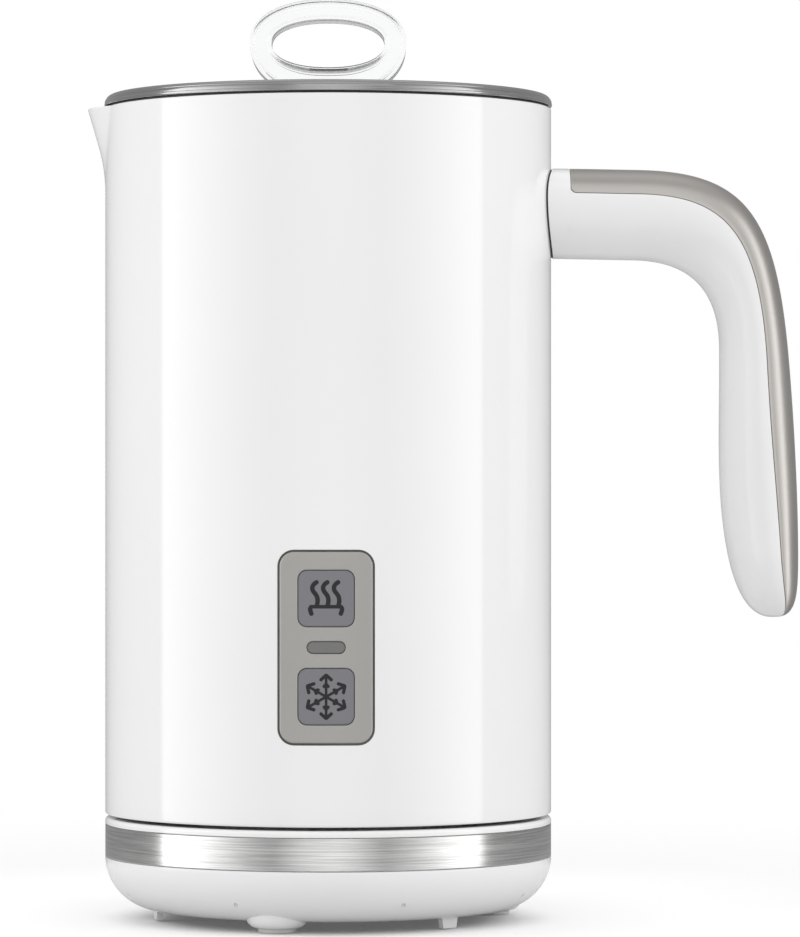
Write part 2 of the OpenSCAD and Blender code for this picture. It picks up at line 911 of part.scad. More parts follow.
module base_top_cover() {
    color("white") on_axis()
        difference() {
            union() {
                rotate_extrude()
                    polygon(concat(
                        [[collar_r + slide_gap, plate_z], [skirt_r - base_wall, plate_z]],
                        [[skirt_r - base_wall, band_z], [skirt_r, band_z], [skirt_r, band_top]],
                        [[jug_r, band_top]],
                        arc(jug_r - 0.8, base_h - 0.8, 0.8, 0, 90, 5),
                        [[collar_r + slide_gap, base_h]]
                    ));
                around(foot_angles, foot_ring_r)
                    rod(boss_r, cover_boss_z, plate_z + 1);
            }
            tube(glide_r + glide_w + slide_gap, glide_r - slide_gap, base_h - glide_sink, base_h + 1);
            around(foot_angles, foot_ring_r)
                rod(screw_d / 2 + fit, cover_boss_z - 1, plate_z - 0.5);
        }
}

module base_trim_band() {
    color("lightgray") on_axis()
        tube(jug_r, jug_r - band_t, band_z + seam, band_top - seam);
}

module base_socket() {
    color("gainsboro") on_axis()
        difference() {
            rotate_extrude()
                polygon(concat(
                    [[0, socket_z], [collar_r, socket_z], [collar_r, plate_z - 2.4]],
                    [[socket_flange_r, plate_z - 2.4], [socket_flange_r, plate_z], [collar_r, plate_z]],
                    arc(collar_r - 1.2, collar_top - 1.2, 1.2, 0, 90, 5),
                    [[0, collar_top]]
                ));
            rod(pin_slot_r, socket_floor, collar_top + 1);
            rod(pin_slot_r + sleeve_t, socket_floor, collar_top - sleeve_drop);
            tube(slot_r1, slot_r0, socket_floor, collar_top + 1);
            tube(slot_r1 + sleeve_t, slot_r1 - 0.1, socket_floor, collar_top - sleeve_drop);
        }
}

module socket_contacts() {
    color("goldenrod") on_axis() {
        tube(pin_slot_r + sleeve_t - fit, pin_slot_r, socket_floor, collar_top - sleeve_drop - fit);
        tube(slot_r1 + sleeve_t - fit, slot_r1, socket_floor, collar_top - sleeve_drop - fit);
    }
}

module glide_ring() {
    color("whitesmoke") on_axis()
        tube(glide_r + glide_w, glide_r, base_h - glide_sink, jug_z);
}

module foot_pads() {
    color("darkgray") on_axis()
        around(foot_angles, foot_ring_r)
            rotate_extrude()
                polygon([
                    [0, 0],
                    [pad_d / 2 - 0.5, 0],
                    [pad_d / 2, 0.5],
                    [pad_d / 2, pad_top],
                    [0, pad_top]
                ]);
}

module base_screws() {
    color("silver") on_axis()
        around(foot_angles, foot_ring_r)
            translate([0, 0, screw_seat])
                screw(screw_d / 2, screw_head_d / 2, 2, 12);
}

// ---------- control panel ----------

module panel_plate() {
    window = button_w + 2 * slide_gap;
    room = button_w + 2 * flange_w + 2 * slide_gap;
    grow = 2 * flange_w;
    color("silver") on_axis()
        difference() {
            union() {
                front_slab(panel_w, panel_h, panel_corner, panel_z, panel_back - 0.3, panel_r);
                front_slab(panel_w + grow, panel_h + grow, panel_corner + flange_w, panel_z,
                    panel_back - 1, panel_back);
                for (side = [-1, 1])
                    front_rod(side * screw_x, panel_z, post_r, board_front, panel_back - 0.1);
            }
            for (z = [hot_z, cold_z]) {
                front_prism(window, window, button_corner + slide_gap, z);
                intersection() {
                    front_prism(room, room, 1, z);
                    rod(panel_back + 0.3, z - room, z + room);
                }
            }
            front_prism(lamp_w + 4 * fit, lamp_h + 4 * fit, lamp_h / 2, panel_z);
            for (side = [-1, 1])
                front_rod(side * screw_x, panel_z, board_screw_r, board_front - 1, panel_back - 0.6);
        }
}

module panel_gasket() {
    color("dimgray") on_axis()
        difference() {
            front_slab(panel_w + 2 * panel_seal - 2 * fit, panel_h + 2 * panel_seal - 2 * fit,
                panel_corner + panel_seal, panel_z, panel_back + 0.1, jug_r);
            front_prism(panel_w + 2 * fit, panel_h + 2 * fit, panel_corner, panel_z);
        }
}

module push_button(z) {
    front_slab(button_w, button_w, button_corner, z, panel_back - flange_t, panel_r - 0.1);
    front_slab(button_w + 2 * flange_w, button_w + 2 * flange_w, 1, z, panel_back - flange_t, panel_back);
}

module hot_button() {
    color("gray") on_axis()
        push_button(hot_z);
}

module cold_button() {
    color("gray") on_axis()
        push_button(cold_z);
}

module status_window() {
    color("lightgray") on_axis()
        front_slab(lamp_w, lamp_h, lamp_h / 2 - fit, panel_z, board_front + 1, panel_r - 0.1);
}

module button_board() {
    color("darkgreen") on_axis()
        difference() {
            translate([-key_board_w / 2, -board_front, panel_z - key_board_h / 2])
                cube([key_board_w, board_front - board_y, key_board_h]);
            for (side = [-1, 1])
                front_rod(side * screw_x, panel_z, board_screw_r + bore_gap, board_y - 1, board_front + 1);
        }
}

module button_switches() {
    color("silver") on_axis()
        for (z = [hot_z, cold_z]) {
            translate([-switch_w / 2, -board_front - switch_t, z - switch_w / 2])
                cube([switch_w, switch_t, switch_w]);
            front_rod(0, z, 1.5, board_front + switch_t - eps, board_front + switch_t + 0.15);
        }
}

module status_led() {
    color("ivory") on_axis()
        translate([-1.4, -board_front - 0.8, panel_z - 0.7])
            cube([2.8, 0.8, 1.4]);
}

module board_screws() {
    color("silver") on_axis()
        for (side = [-1, 1]) {
            front_rod(side * screw_x, panel_z, post_r - 0.2, board_y - 1.2, board_y);
            front_rod(side * screw_x, panel_z, board_screw_r - fit, board_y - eps, panel_back - 0.8);
        }
}

module ribbon_cable() {
    top = panel_z - 12;
    low = board_z + board_t;
    color("gray") on_axis()
        translate([-5, 0, 0])
            rotate([90, 0, 90])
                linear_extrude(height = 10)
                    polygon([
                        [-board_y, top],
                        [-board_y + 0.8, top],
                        [-board_y + 0.8, top - 5],
                        [-board_mid - 0.4, low + 2],
                        [-board_mid - 0.4, low],
                        [-board_mid - 1.2, low],
                        [-board_mid - 1.2, low + 2.2],
                        [-board_y, top - 5]
                    ]);
}

// ---------- handle ----------

function bezier(a, b, c, d, t) =
    pow(1 - t, 3) * a + 3 * pow(1 - t, 2) * t * b + 3 * (1 - t) * t * t * c + pow(t, 3) * d;

function heading(k) = [cos(k[2]), sin(k[2])];

// Point at u on a line of knots, where each whole number of u is a knot
function line_point(line, u) =
    let (i = min(floor(u), len(line) - 2), k = line[i], n = line[i + 1])
        let (a = [k[0], k[1]], d = [n[0], n[1]])
            bezier(a, a + k[4] * heading(k), d - n[3] * heading(n), d, u - i);

function span(u) = norm(line_point(outer_line, u) - line_point(inner_line, u));

function half_width(u) =
    handle_w / 2 * (u > 3 ? 0.95 * pow(span(u) / span(3), 0.75) : 1 - 0.05 * u / 3);

function cover_part(u) =
    cover_share + (u > 1 && u < 3 ? cover_swell * pow(sin(90 * (u - 1)), 2) : 0);

// A place in the handle's cross-section at u: y across it, and n measured from the inner line
function place(u, y, n) =
    let (a = line_point(inner_line, u), d = line_point(outer_line, u))
        let (p = a + (d - a) * n / norm(d - a))
            [p[0], -y, p[1]];

function power(v, e) = sign(v) * pow(abs(v), e);

// Skin of the cross-section at an angle, drawn in by an inset: flat-topped outside, round inside
function skin(u, a, inset) =
    let (t = span(u), wide = t * (cover_part(u) + 0.045), w = half_width(u) - inset)
        let (rise = sin(a) > 0 ? wide - inset : t - wide - inset, curve = sin(a) > 0 ? 2.4 : 1.9)
            [w * power(cos(a), 2 / curve), t - wide + rise * power(sin(a), 2 / curve)];

// Angle on the skin, drawn in by an inset, at which it reaches a height
function skin_angle(u, n, inset) =
    let (t = span(u), wide = t * (cover_part(u) + 0.045))
        asin(pow(max(0, min(1, (n - t + wide) / (wide - inset))), 1.2));

// Angles from one edge of the cover to the other
function sweep(from, to, steps) = [for (i = [0:steps]) from + (to - from) * i / steps];

// A straight row of places between the two edges of the cover, without its ends
function flat_row(u, from, to, n) = [
    for (i = [1:half_steps - 1])
        place(u, from + (to - from) * i / half_steps, n)
];

function split_n(u) = span(u) * (1 - cover_part(u));

// One ring of the handle shell: its skin below the cover, then the way back over or through it
function shell_ring(u, kind) =
    let (n = split_n(u), a = skin_angle(u, n, 0), b = skin_angle(u, n, handle_wall))
        let (lip = skin(u, a, 0)[0])
            concat(
                [for (s = sweep(a, -180 - a, half_steps)) let (p = skin(u, s, 0)) place(u, p[0], p[1])],
                kind == "full" ? [
                    for (i = [1:half_steps - 1])
                        let (p = skin(u, sweep(180 - a, a, half_steps)[i], 0))
                            place(u, p[0], p[1])
                ]
                : kind == "open" ? [
                    for (s = sweep(-180 - b, b, half_steps - 2))
                        let (p = skin(u, s, handle_wall))
                            place(u, p[0], p[1])
                ]
                : flat_row(u, -lip, lip, n)
            );

// One ring of the cover: its skin, then its underside
function cover_ring(u, kind) =
    let (n = split_n(u) + seam, a = skin_angle(u, n, 0), b = skin_angle(u, n, handle_wall - 0.4))
        let (lip = skin(u, a, 0)[0])
            concat(
                [for (s = sweep(180 - a, a, half_steps)) let (p = skin(u, s, 0)) place(u, p[0], p[1])],
                kind == "open" ? [
                    for (s = sweep(b, 180 - b, half_steps - 2))
                        let (p = skin(u, s, handle_wall - 0.4))
                            place(u, p[0], p[1])
                ]
                : flat_row(u, lip, -lip, n)
            );

step_u = 0.002;

// Places along the handle, with the kind of ring at each
shell_stations = concat(
    [[0, "full"], [cover_u - step_u, "full"], [cover_u, "flat"], [hollow_u - step_u, "flat"]],
    [for (u = sweep(hollow_u, hollow_end, run_steps)) [u, "open"]],
    [for (a = sweep(0, 90, 6)) [hollow_end + step_u + (3.98 - hollow_end) * sin(a), "flat"]]
);
cover_end_u = cover_u + seam / (bend_x - root_x);
cover_stations = concat(
    [[cover_end_u, "flat"], [hollow_u - step_u, "flat"]],
    [for (u = sweep(hollow_u, hollow_end, run_steps)) [u, "open"]],
    [for (a = sweep(0, 90, 6)) [hollow_end + step_u + (3.98 - hollow_end) * sin(a), "flat"]]
);

module handle_solid(rings) {
    count = len(rings[0]);
    last = (len(rings) - 1) * count;
    polyhedron(
        points = [for (r = rings, p = r) p],
        faces = concat(
            tube_faces(len(rings), count, false),
            cap_faces(0, count, false),
            cap_faces(last, count, true)
        ),
        convexity = 8
    );
}

module handle_shell() {
    color("white") on_axis()
        difference() {
            handle_solid([for (s = shell_stations) shell_ring(s[0], s[1])]);
            rod(jug_r + handle_seal_t, handle_top - root_h - 5, handle_top + 5);
            for (side = [-1, 1])
                translate([root_x, side * handle_screw_y, handle_screw_z])
                    rotate([0, 90, 0])
                        cylinder(r = handle_screw_d / 2 + fit, h = handle_screw_l);
        }
}

module handle_cover() {
    color("rosybrown") on_axis()
        handle_solid([for (s = cover_stations) cover_ring(s[0], s[1])]);
}

// Outline of the handle's root, seen along the handle
root_outline = [
    for (i = [0:23])
        let (p = skin(0, 15 * i, 0.2))
            [p[0], p[1] + handle_top - root_h]
];

module handle_seal() {
    color("dimgray") on_axis()
        difference() {
            intersection() {
                tube(jug_r + handle_seal_t, jug_r, handle_top - root_h - 2, handle_top + 2);
                translate([root_x - 5, 0, 0])
                    rotate([90, 0, 90])
                        linear_extrude(height = root_depth)
                            polygon(root_outline);
            }
            for (side = [-1, 1])
                translate([root_x - 5, side * handle_screw_y, handle_screw_z])
                    rotate([0, 90, 0])
                        cylinder(r = handle_screw_r, h = root_depth);
        }
}

module handle_bracket() {
    color("silver") on_axis()
        difference() {
            union() {
                intersection() {
                    tube(
                        jug_in_r - 2 * fit,
                        jug_in_r - bracket_sheet,
                        handle_screw_z - bracket_h / 2,
                        handle_screw_z + bracket_h / 2
                    );
                    translate([0, -bracket_w / 2, handle_screw_z - bracket_h / 2])
                        cube([jug_r, bracket_w, bracket_h]);
                }
                for (side = [-1, 1])
                    translate([handle_seat_x, side * handle_screw_y, handle_screw_z])
                        rotate([0, 90, 0])
                            cylinder(r = bracket_pad_r, h = bracket_pad_t);
            }
            for (side = [-1, 1])
                translate([handle_seat_x - 1, side * handle_screw_y, handle_screw_z])
                    rotate([0, 90, 0])
                        cylinder(r = handle_screw_r, h = root_depth);
        }
}

module handle_screws() {
    color("silver") on_axis()
        for (side = [-1, 1])
            translate([handle_seat_x, side * handle_screw_y, handle_screw_z])
                rotate([0, 90, 0])
                    screw(handle_screw_d / 2, handle_screw_d / 2 + 1.4, 1.8, handle_screw_l);
}

// ---------- lid ----------

module lid_cover() {
    color("gray") on_axis()
        difference() {
            rotate_extrude()
                polygon(concat(
                    [[0, lid_z], [lid_r - 0.4, lid_z], [lid_r, lid_z + 0.4]],
                    arc(lid_r - lid_edge, lid_top - lid_edge, lid_edge, 0, 90),
                    [[0, lid_top]]
                ));
            rod(screw_d / 2 + bore_gap, lid_z - 1, lid_top + 1);
        }
}

module lid_plug() {
    color("lightgray") on_axis()
        difference() {
            rod(plug_r, rim_z - plug_depth, lid_z);
            rod(plug_r - plug_wall, rim_z - plug_depth - 1, lid_z - plug_plate);
            rod(screw_d / 2 + bore_gap, lid_z - plug_plate - 1, lid_z + 1);
        }
}

module lid_seal() {
    lip_r = pot_r - slide_gap;
    low = rim_z - plug_depth + 1;
    color("black") on_axis()
        rotate_extrude()
            polygon([
                [plug_r, low],
                [plug_r + 0.5, low],
                [lip_r, low + 0.4],
                [plug_r + 0.5, low + 1],
                [plug_r + 0.5, low + 2.6],
                [lip_r, low + 3],
                [plug_r + 0.5, low + 3.6],
                [plug_r + 0.5, rim_z],
                [jug_r - 0.6, rim_z],
                [jug_r - 0.6, lid_z],
                [plug_r, lid_z]
            ]);
}

// The knob: a closed loop of soft-cornered section between an outer and an inner oval
knob_steps = 48;
knob_sides = 16;

function knob_outer(a) = [
    knob_l / 2 * cos(a),
    max(lid_top, knob_mid_z + (sin(a) > 0 ? knob_rise : knob_h - knob_rise + knob_sink) * sin(a))
];

function knob_inner(a) = [knob_hole_l / 2 * cos(a), knob_hole_z + knob_hole_h / 2 * sin(a)];

function knob_ring(a) =
    let (o = knob_outer(a), i = knob_inner(a))
        [
            for (j = [0:knob_sides - 1])
                let (s = 360 * j / knob_sides)
                    let (m = (o + i) / 2 + (o - i) / 2 * power(cos(s), knob_soft))
                        [m[0], knob_w / 2 * power(sin(s), knob_soft), m[1]]
        ];

module lid_knob() {
    color("lightcyan") on_axis()
        difference() {
            polyhedron(
                points = [for (k = [0:knob_steps - 1], p = knob_ring(360 * k / knob_steps)) p],
                faces = tube_faces(knob_steps, knob_sides, true),
                convexity = 6
            );
            rod(screw_d / 2 + fit, lid_top - 1, lid_top + 4);
        }
}

module knob_screw() {
    color("silver") on_axis()
        translate([0, 0, lid_z - plug_plate])
            screw(screw_d / 2, screw_head_d / 2, 1.8, lid_t + plug_plate + 3.5);
}

base_lower_shell();
base_top_cover();
base_trim_band();
base_socket();
socket_contacts();
foot_pads();
base_screws();
cord_grommet();
glide_ring();
jug_shell();
bottom_cover();
bottom_screws();
jug_connector();
plug_contacts();
connector_screws();
power_board();
board_relay();
board_capacitors();
inner_pot();
pot_seal();
heater_plate();
heater_tube();
thermostat();
thermal_fuse();
motor_bracket();
bracket_screws();
motor_can();
motor_shaft();
magnet_carrier();
drive_magnets();
whisk_post();
whisk_carrier();
whisk_magnets();
whisk_coil();
panel_plate();
panel_gasket();
hot_button();
cold_button();
status_window();
button_board();
button_switches();
status_led();
board_screws();
ribbon_cable();
handle_shell();
handle_cover();
handle_seal();
handle_bracket();
handle_screws();
lid_cover();
lid_plug();
lid_seal();
lid_knob();
knob_screw();
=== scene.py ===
"""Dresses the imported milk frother: smooth skins for what shows, a finish for each piece, a pale studio, a camera."""

import json
import math

import bmesh
import bpy
import numpy as np
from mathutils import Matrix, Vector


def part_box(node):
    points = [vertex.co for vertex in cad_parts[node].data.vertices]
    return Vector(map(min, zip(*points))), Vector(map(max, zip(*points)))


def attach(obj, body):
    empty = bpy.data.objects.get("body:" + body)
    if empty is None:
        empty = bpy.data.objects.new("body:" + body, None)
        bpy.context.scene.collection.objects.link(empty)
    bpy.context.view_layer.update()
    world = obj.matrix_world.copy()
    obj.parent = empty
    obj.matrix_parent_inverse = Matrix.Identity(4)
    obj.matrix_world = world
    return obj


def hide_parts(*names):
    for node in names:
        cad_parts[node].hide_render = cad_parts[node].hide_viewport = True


bl_info = {
    "name": "Milk Frother Dressing",
    "version": (1, 0, 0),
    "blender": (4, 5, 0),
    "location": "View3D > Sidebar > Frother",
    "description": "Skins, finishes, studio and camera for a packed milk frother",
    "category": "Object",
}

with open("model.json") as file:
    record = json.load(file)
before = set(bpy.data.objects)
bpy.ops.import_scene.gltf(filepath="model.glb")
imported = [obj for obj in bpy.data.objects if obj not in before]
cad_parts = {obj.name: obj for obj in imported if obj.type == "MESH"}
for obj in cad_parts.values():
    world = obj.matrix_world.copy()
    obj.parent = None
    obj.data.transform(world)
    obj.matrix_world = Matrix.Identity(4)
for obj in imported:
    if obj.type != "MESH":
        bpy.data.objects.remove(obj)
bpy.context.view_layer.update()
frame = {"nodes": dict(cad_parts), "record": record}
MM = 0.001


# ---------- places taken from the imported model, in millimetres about the jug's axis ----------


def span(node):
    """Lowest and highest corner of a CAD node, in millimetres, about the jug's axis."""
    low, high = (np.array(c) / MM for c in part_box(node))
    return low - [AXIS_X, 0, 0], high - [AXIS_X, 0, 0]


def middle_z(node):
    """Height of a CAD node's middle."""
    low, high = span(node)
    return (low[2] + high[2]) / 2


# x of the jug's axis: it stays 0 until the turning ring, which lies round that axis, has been measured.
AXIS_X = 0.0
AXIS_X = sum(corner[0] for corner in span("glide_ring")) / 2
JUG_R = span("jug_shell")[1][0]
JUG_WALL = 2.2
JUG_IN = JUG_R - JUG_WALL
JUG_Z = span("jug_shell")[0][2]
RIM_Z = span("jug_shell")[1][2]
SPOUT_REACH = -span("jug_shell")[0][0] - JUG_R
FLOOR_Z = span("whisk_post")[0][2]
PANEL_Z = middle_z("panel_gasket")
HOT_Z = middle_z("hot_button")
COLD_Z = middle_z("cold_button")
HANDLE_TOP = span("handle_shell")[1][2]
HANDLE_REACH = span("handle_cover")[1][0]
HANDLE_TIP = span("handle_shell")[0][2]
LID_LOW, LID_HIGH = span("lid_cover")
KNOB_LOW, KNOB_HIGH = span("lid_knob")
BASE_TOP = span("base_top_cover")[1][2]
BAND_LOW, BAND_HIGH = span("base_trim_band")
BASE_LOW = span("base_lower_shell")[0][2]
COLLAR_TOP = span("base_socket")[1][2]

# The spout's upright cone: its radius at the rim, and how fast that falls with depth.
SPOUT_R = 15.3
SPOUT_SLOPE = 3.8 / 13

# The base's underside: its height, wall, and the groove for the wound cord, which leaves through a hole at the back.
UNDER_Z = 2.3
BASE_WALL = 2
SPOOL_R, GROOVE_R, GROOVE_TOP = 17, 34, 12
CORD_Z = 8.15

# Where the three feet stand, as degrees from the handle; and the cord hooks, as radius and degrees.
PAD_R, FOOT_TURN = 4, 13.5
HOOK_RING, HOOK_TURN = 36.8, 73


# ---------- what a user would change ----------


class FrotherSizes(bpy.types.PropertyGroup):
    """Sizes of the pieces that dress the frother."""

    panel_width: bpy.props.FloatProperty(
        name="Panel width", description="Width of the control panel", default=0.0191, unit="LENGTH")
    panel_height: bpy.props.FloatProperty(
        name="Panel height", description="Height of the control panel", default=0.0391, unit="LENGTH")
    panel_corner: bpy.props.FloatProperty(
        name="Panel corner", description="Corner radius of the control panel", default=0.003, unit="LENGTH")
    button_side: bpy.props.FloatProperty(
        name="Button side", description="Side of a square button", default=0.0115, unit="LENGTH")
    icon_line: bpy.props.FloatProperty(
        name="Icon line", description="Width of the lines of both icons", default=0.00092, unit="LENGTH")
    seam: bpy.props.FloatProperty(
        name="Seam", description="Seam between the handle and its cover", default=0.00006, unit="LENGTH")
    coil_turns: bpy.props.IntProperty(
        name="Coil turns", description="Turns of wire round the whisk", default=34, min=12)


class FrotherColours(bpy.types.PropertyGroup):
    """Colours of the finishes that show most."""

    white: bpy.props.FloatVectorProperty(
        name="White moulding", description="Colour of jug, base and handle", subtype="COLOR",
        default=(0.86, 0.86, 0.86))
    satin: bpy.props.FloatVectorProperty(
        name="Satin cover", description="Colour of the handle's cover", subtype="COLOR",
        default=(0.53, 0.506, 0.482))
    steel: bpy.props.FloatVectorProperty(
        name="Steel band", description="Colour of the brushed band", subtype="COLOR",
        default=(0.62, 0.62, 0.615))
    panel: bpy.props.FloatVectorProperty(
        name="Panel", description="Colour of the control panel", subtype="COLOR",
        default=(0.372, 0.363, 0.342))
    button: bpy.props.FloatVectorProperty(
        name="Button", description="Colour of both buttons", subtype="COLOR",
        default=(0.19, 0.187, 0.205))
    icon: bpy.props.FloatVectorProperty(
        name="Icon", description="Colour of the printed icons", subtype="COLOR",
        default=(0.006, 0.006, 0.008))
    lid: bpy.props.FloatVectorProperty(
        name="Lid", description="Colour of the lid", subtype="COLOR",
        default=(0.35, 0.35, 0.35))


# ---------- shapes ----------


def unit(v):
    """The same direction with length 1."""
    return v / np.linalg.norm(v)


def grid(*axes):
    """Coordinates, spread over each other, as one array of points."""
    return np.stack(np.broadcast_arrays(*axes), -1)


def sweep(start, end, count):
    """Angles in equal steps, given in degrees and returned in radians."""
    return np.radians(np.linspace(start, end, count))


def around(r, angle, z):
    """Points about the jug's axis: x = r cos(angle), y = r sin(angle), z = z."""
    return grid(r * np.cos(angle), r * np.sin(angle), z)


def ticks(start, *spans):
    """Values from start through the end of each span, which is cut into its number of equal steps."""
    values = [np.array([start], float)]
    for end, steps in spans:
        values.append(np.linspace(values[-1][-1], end, steps + 1)[1:])
    return np.concatenate(values)


def rounded(corners, steps=6, ease=0.12, closed=True):
    """A line through corners (x, z, radius). A corner with a radius becomes an arc of it: the arc starts and ends
    where it touches both sides, and one more point just beyond each end keeps the flats beside it flat."""
    c = np.array([p[:2] for p in corners], float)
    path = []
    for i, (x, z, r) in enumerate(corners):
        if r == 0 or (not closed and i in (0, len(c) - 1)):
            path.append([[x, z]])
            continue
        back, on = c[i - 1] - c[i], c[(i + 1) % len(c)] - c[i]
        a, b = unit(back), unit(on)
        half = math.acos(float(np.clip(a @ b, -1, 1))) / 2
        reach, turn = r / math.tan(half), math.pi - 2 * half
        middle = c[i] + unit(a + b) * r / math.sin(half)
        p, q = (c[i] + a * reach - middle), (c[i] + b * reach - middle)
        t = np.linspace(0, 1, steps + 1)[:, None]
        arc = middle + (np.sin((1 - t) * turn) * p + np.sin(t * turn) * q) / math.sin(turn)
        near = [max(0, min(ease, 0.3 * (np.linalg.norm(v) - reach))) for v in (back, on)]
        path.append([c[i] + a * (reach + near[0]), *arc, c[i] + b * (reach + near[1])])
    if closed:
        path.append([path[0][0]])
    return np.vstack(path)


def lathe(profile, turns=192):
    """A profile of (radius, height) carried once round the jug's axis: x = r cos a, y = r sin a, z = height."""
    return around(profile[:, :1], np.linspace(0, 2 * np.pi, turns + 1), profile[:, 1:])


def bow(x, z, r, start, end, count):
    """Points of a profile on a circle of radius r round (x, z), between two angles in degrees."""
    a = sweep(start, end, count)
    return grid(x + r * np.cos(a), z + r * np.sin(a))


def wrap(points, r):
    """Flat points (x, z) laid on the front of an upright cylinder of radius r: y = -sqrt(r^2 - x^2)."""
    x, z = points[..., 0], points[..., 1]
    return grid(x, -np.sqrt(np.maximum(r * r - x * x, 0)), z)


def soft_max(a, b, reach):
    """The greater of a and b, with the crease between them filled within a reach: adds h^2 reach / 4,
    where h falls from 1 where they are equal to 0 where they differ by the reach."""
    h = np.clip(1 - np.abs(a - b) / reach, 0, 1)
    return np.maximum(a, b) + h * h * reach / 4


def spout_reach(angle, z, inset):
    """Distance from the jug's axis to the far side of the spout's upright cone, in a direction and at a height.
    The cone stands at x = -c and its radius falls with depth below the rim; a ray meets its far side at
    d + sqrt(d^2 - c^2 + radius^2), where d = -c cos(angle). Where the ray misses it, the distance is 0."""
    c = JUG_R + SPOUT_REACH - SPOUT_R
    radius = SPOUT_R - inset - SPOUT_SLOPE * (RIM_Z - z)
    d = -c * np.cos(angle)
    inside = d * d - c * c + radius * radius
    hit = (inside > 0) & (d > 0) & (radius > 1)
    return np.where(hit, d + np.sqrt(np.maximum(inside, 0)), 0)


def rounded_loop(w, h, r, arc=8, edge=10):
    """Closed loop round a w by h rectangle with corners of radius r, as the corners' middles and outward normals: its
    points are middle + r normal. Each corner is an arc, and each straight edge is cut into equal steps."""
    middle = np.array([[1, 1], [-1, 1], [-1, -1], [1, -1], [1, 1]]) * [w / 2 - r, h / 2 - r]
    t = np.linspace(0, 1, edge + 1)[1:-1, None]
    core, normals = [], []
    for q in range(4):
        a = sweep(90 * q, 90 * q + 90, arc + 1)
        n = grid(np.cos(a), np.sin(a))
        core += [middle[q] + 0 * n, middle[q] + (middle[q + 1] - middle[q]) * t]
        normals += [n, n[-1] + 0 * t]
    return np.vstack([*core, core[0][:1]]), np.vstack([*normals, normals[0][:1]])


def meet(points, centre, w, h, r):
    """Points on a rounded rectangle's edge in the same directions from its centre as the points given."""
    core, n = rounded_loop(w, h, r, 40, 60)
    edge = core + r * n
    turn = np.unwrap(np.arctan2(edge[:, 1], edge[:, 0]))
    want = np.arctan2(points[:, 1] - centre[1], points[:, 0] - centre[0])
    want = turn[0] + np.mod(want - turn[0], 2 * np.pi)
    return grid(*(np.interp(want, turn, edge[:, k]) for k in (0, 1))) + centre


def between(a, b, steps):
    """Loops from a to b in equal steps."""
    t = np.linspace(0, 1, steps + 1)[:, None, None]
    return a * (1 - t) + b * t


def turned_edge(core, normals, r, front, edge, back, centre):
    """Side of a plate whose outline is core + r normals: from just inside the rounded edge, round a quarter circle of
    radius edge, and down to the back."""
    a = sweep(0, 90, 6)
    grow = [r - edge - 0.15, *(r - edge + edge * np.sin(a)), r, r]
    depth = [front, *(front - edge + edge * np.cos(a)), front - edge - 0.1, back]
    return np.stack([wrap(core + g * normals + centre, d) for g, d in zip(grow, depth)])


def slab(w, h, r, front, edge, back, centre):
    """A closed rounded-rectangle plate bent round the jug, with its front edge turned and its middle filled."""
    core, n = rounded_loop(w, h, r)
    steps = np.linspace(0, 1, 7)
    face = np.stack([wrap(core * t + centre, front) for t in steps])
    rear = np.stack([wrap(core * t + centre, back) for t in steps[::-1]])
    return [face, np.concatenate([face[-1:], turned_edge(core, n, r, front, edge, back, centre), rear[:1]]), rear]


def bezier_chain(knots, u):
    """A line of knots (x, z, heading, pull in, pull out): between two knots it is the cubic curve whose inner handles
    lie along the headings at the pulls' distances, and each whole number of u is a knot."""
    knots = np.array(knots, float)
    i = np.minimum(np.floor(u).astype(int), len(knots) - 2)
    t = (u - i)[..., None]
    heading = np.radians(knots[:, 2])
    way = grid(np.cos(heading), np.sin(heading))
    a, d = knots[i, :2], knots[i + 1, :2]
    b = a + knots[i, 4, None] * way[i]
    c = d - knots[i + 1, 3, None] * way[i + 1]
    return (1 - t) ** 3 * a + 3 * (1 - t) ** 2 * t * b + 3 * (1 - t) * t ** 2 * c + t ** 3 * d


def line(*points):
    """A straight or bent line through points, cut into short steps."""
    points = np.array(points, float)
    t = np.linspace(0, len(points) - 1, 12 * (len(points) - 1) + 1)
    return grid(*(np.interp(t, np.arange(len(points)), points[:, k]) for k in (0, 1)))


def stroke(path, width, front, depth=0.04):
    """A printed line bent round the jug: a path of (x, z) carried as a low ridge with round ends. Its half width is
    w/2 sqrt(1 - e^2) within w/2 of each end, where e runs from 1 at the end to 0."""
    step = np.linalg.norm(np.diff(path, axis=0), axis=1)
    along = np.concatenate([[0], np.cumsum(step)])
    extra = np.array([0, 0.02, 0.08, 0.2, 0.4, 0.7, 1]) * width / 2
    at = np.unique(np.concatenate([extra, along[-1] - extra, np.linspace(width / 2, along[-1] - width / 2, 24)]))
    p = grid(*(np.interp(at, along, path[:, k]) for k in (0, 1)))
    way = np.gradient(p, axis=0)
    way /= np.linalg.norm(way, axis=1)[:, None]
    side = grid(-way[:, 1], way[:, 0])
    end = np.clip(np.minimum(at, along[-1] - at) / (width / 2), 0, 1)
    half = (width / 2 * np.sqrt(1 - (1 - end) ** 2))[:, None]
    left, right = p + side * half, p - side * half
    low = front - depth
    return np.stack([wrap(p, r) for p, r in (
        (left, low), (left, front), (right, front), (right, low), (left, low))], 1)


def closed_to(skin):
    """One more row, in which every point is the middle of the skin's last row."""
    return skin[-1:] * 0 + skin[-1].mean(0)


def join(patches):
    """All patches as one list of points and one list of four-cornered faces."""
    points, faces, start = [], [], 0
    for p in patches:
        rows, cols = p.shape[:2]
        i = np.arange(rows * cols).reshape(rows, cols) + start
        faces.append(np.stack([i[:-1, :-1], i[1:, :-1], i[1:, 1:], i[:-1, 1:]], -1).reshape(-1, 4))
        points.append(p.reshape(-1, 3))
        start += rows * cols
    return np.concatenate(points), np.concatenate(faces)


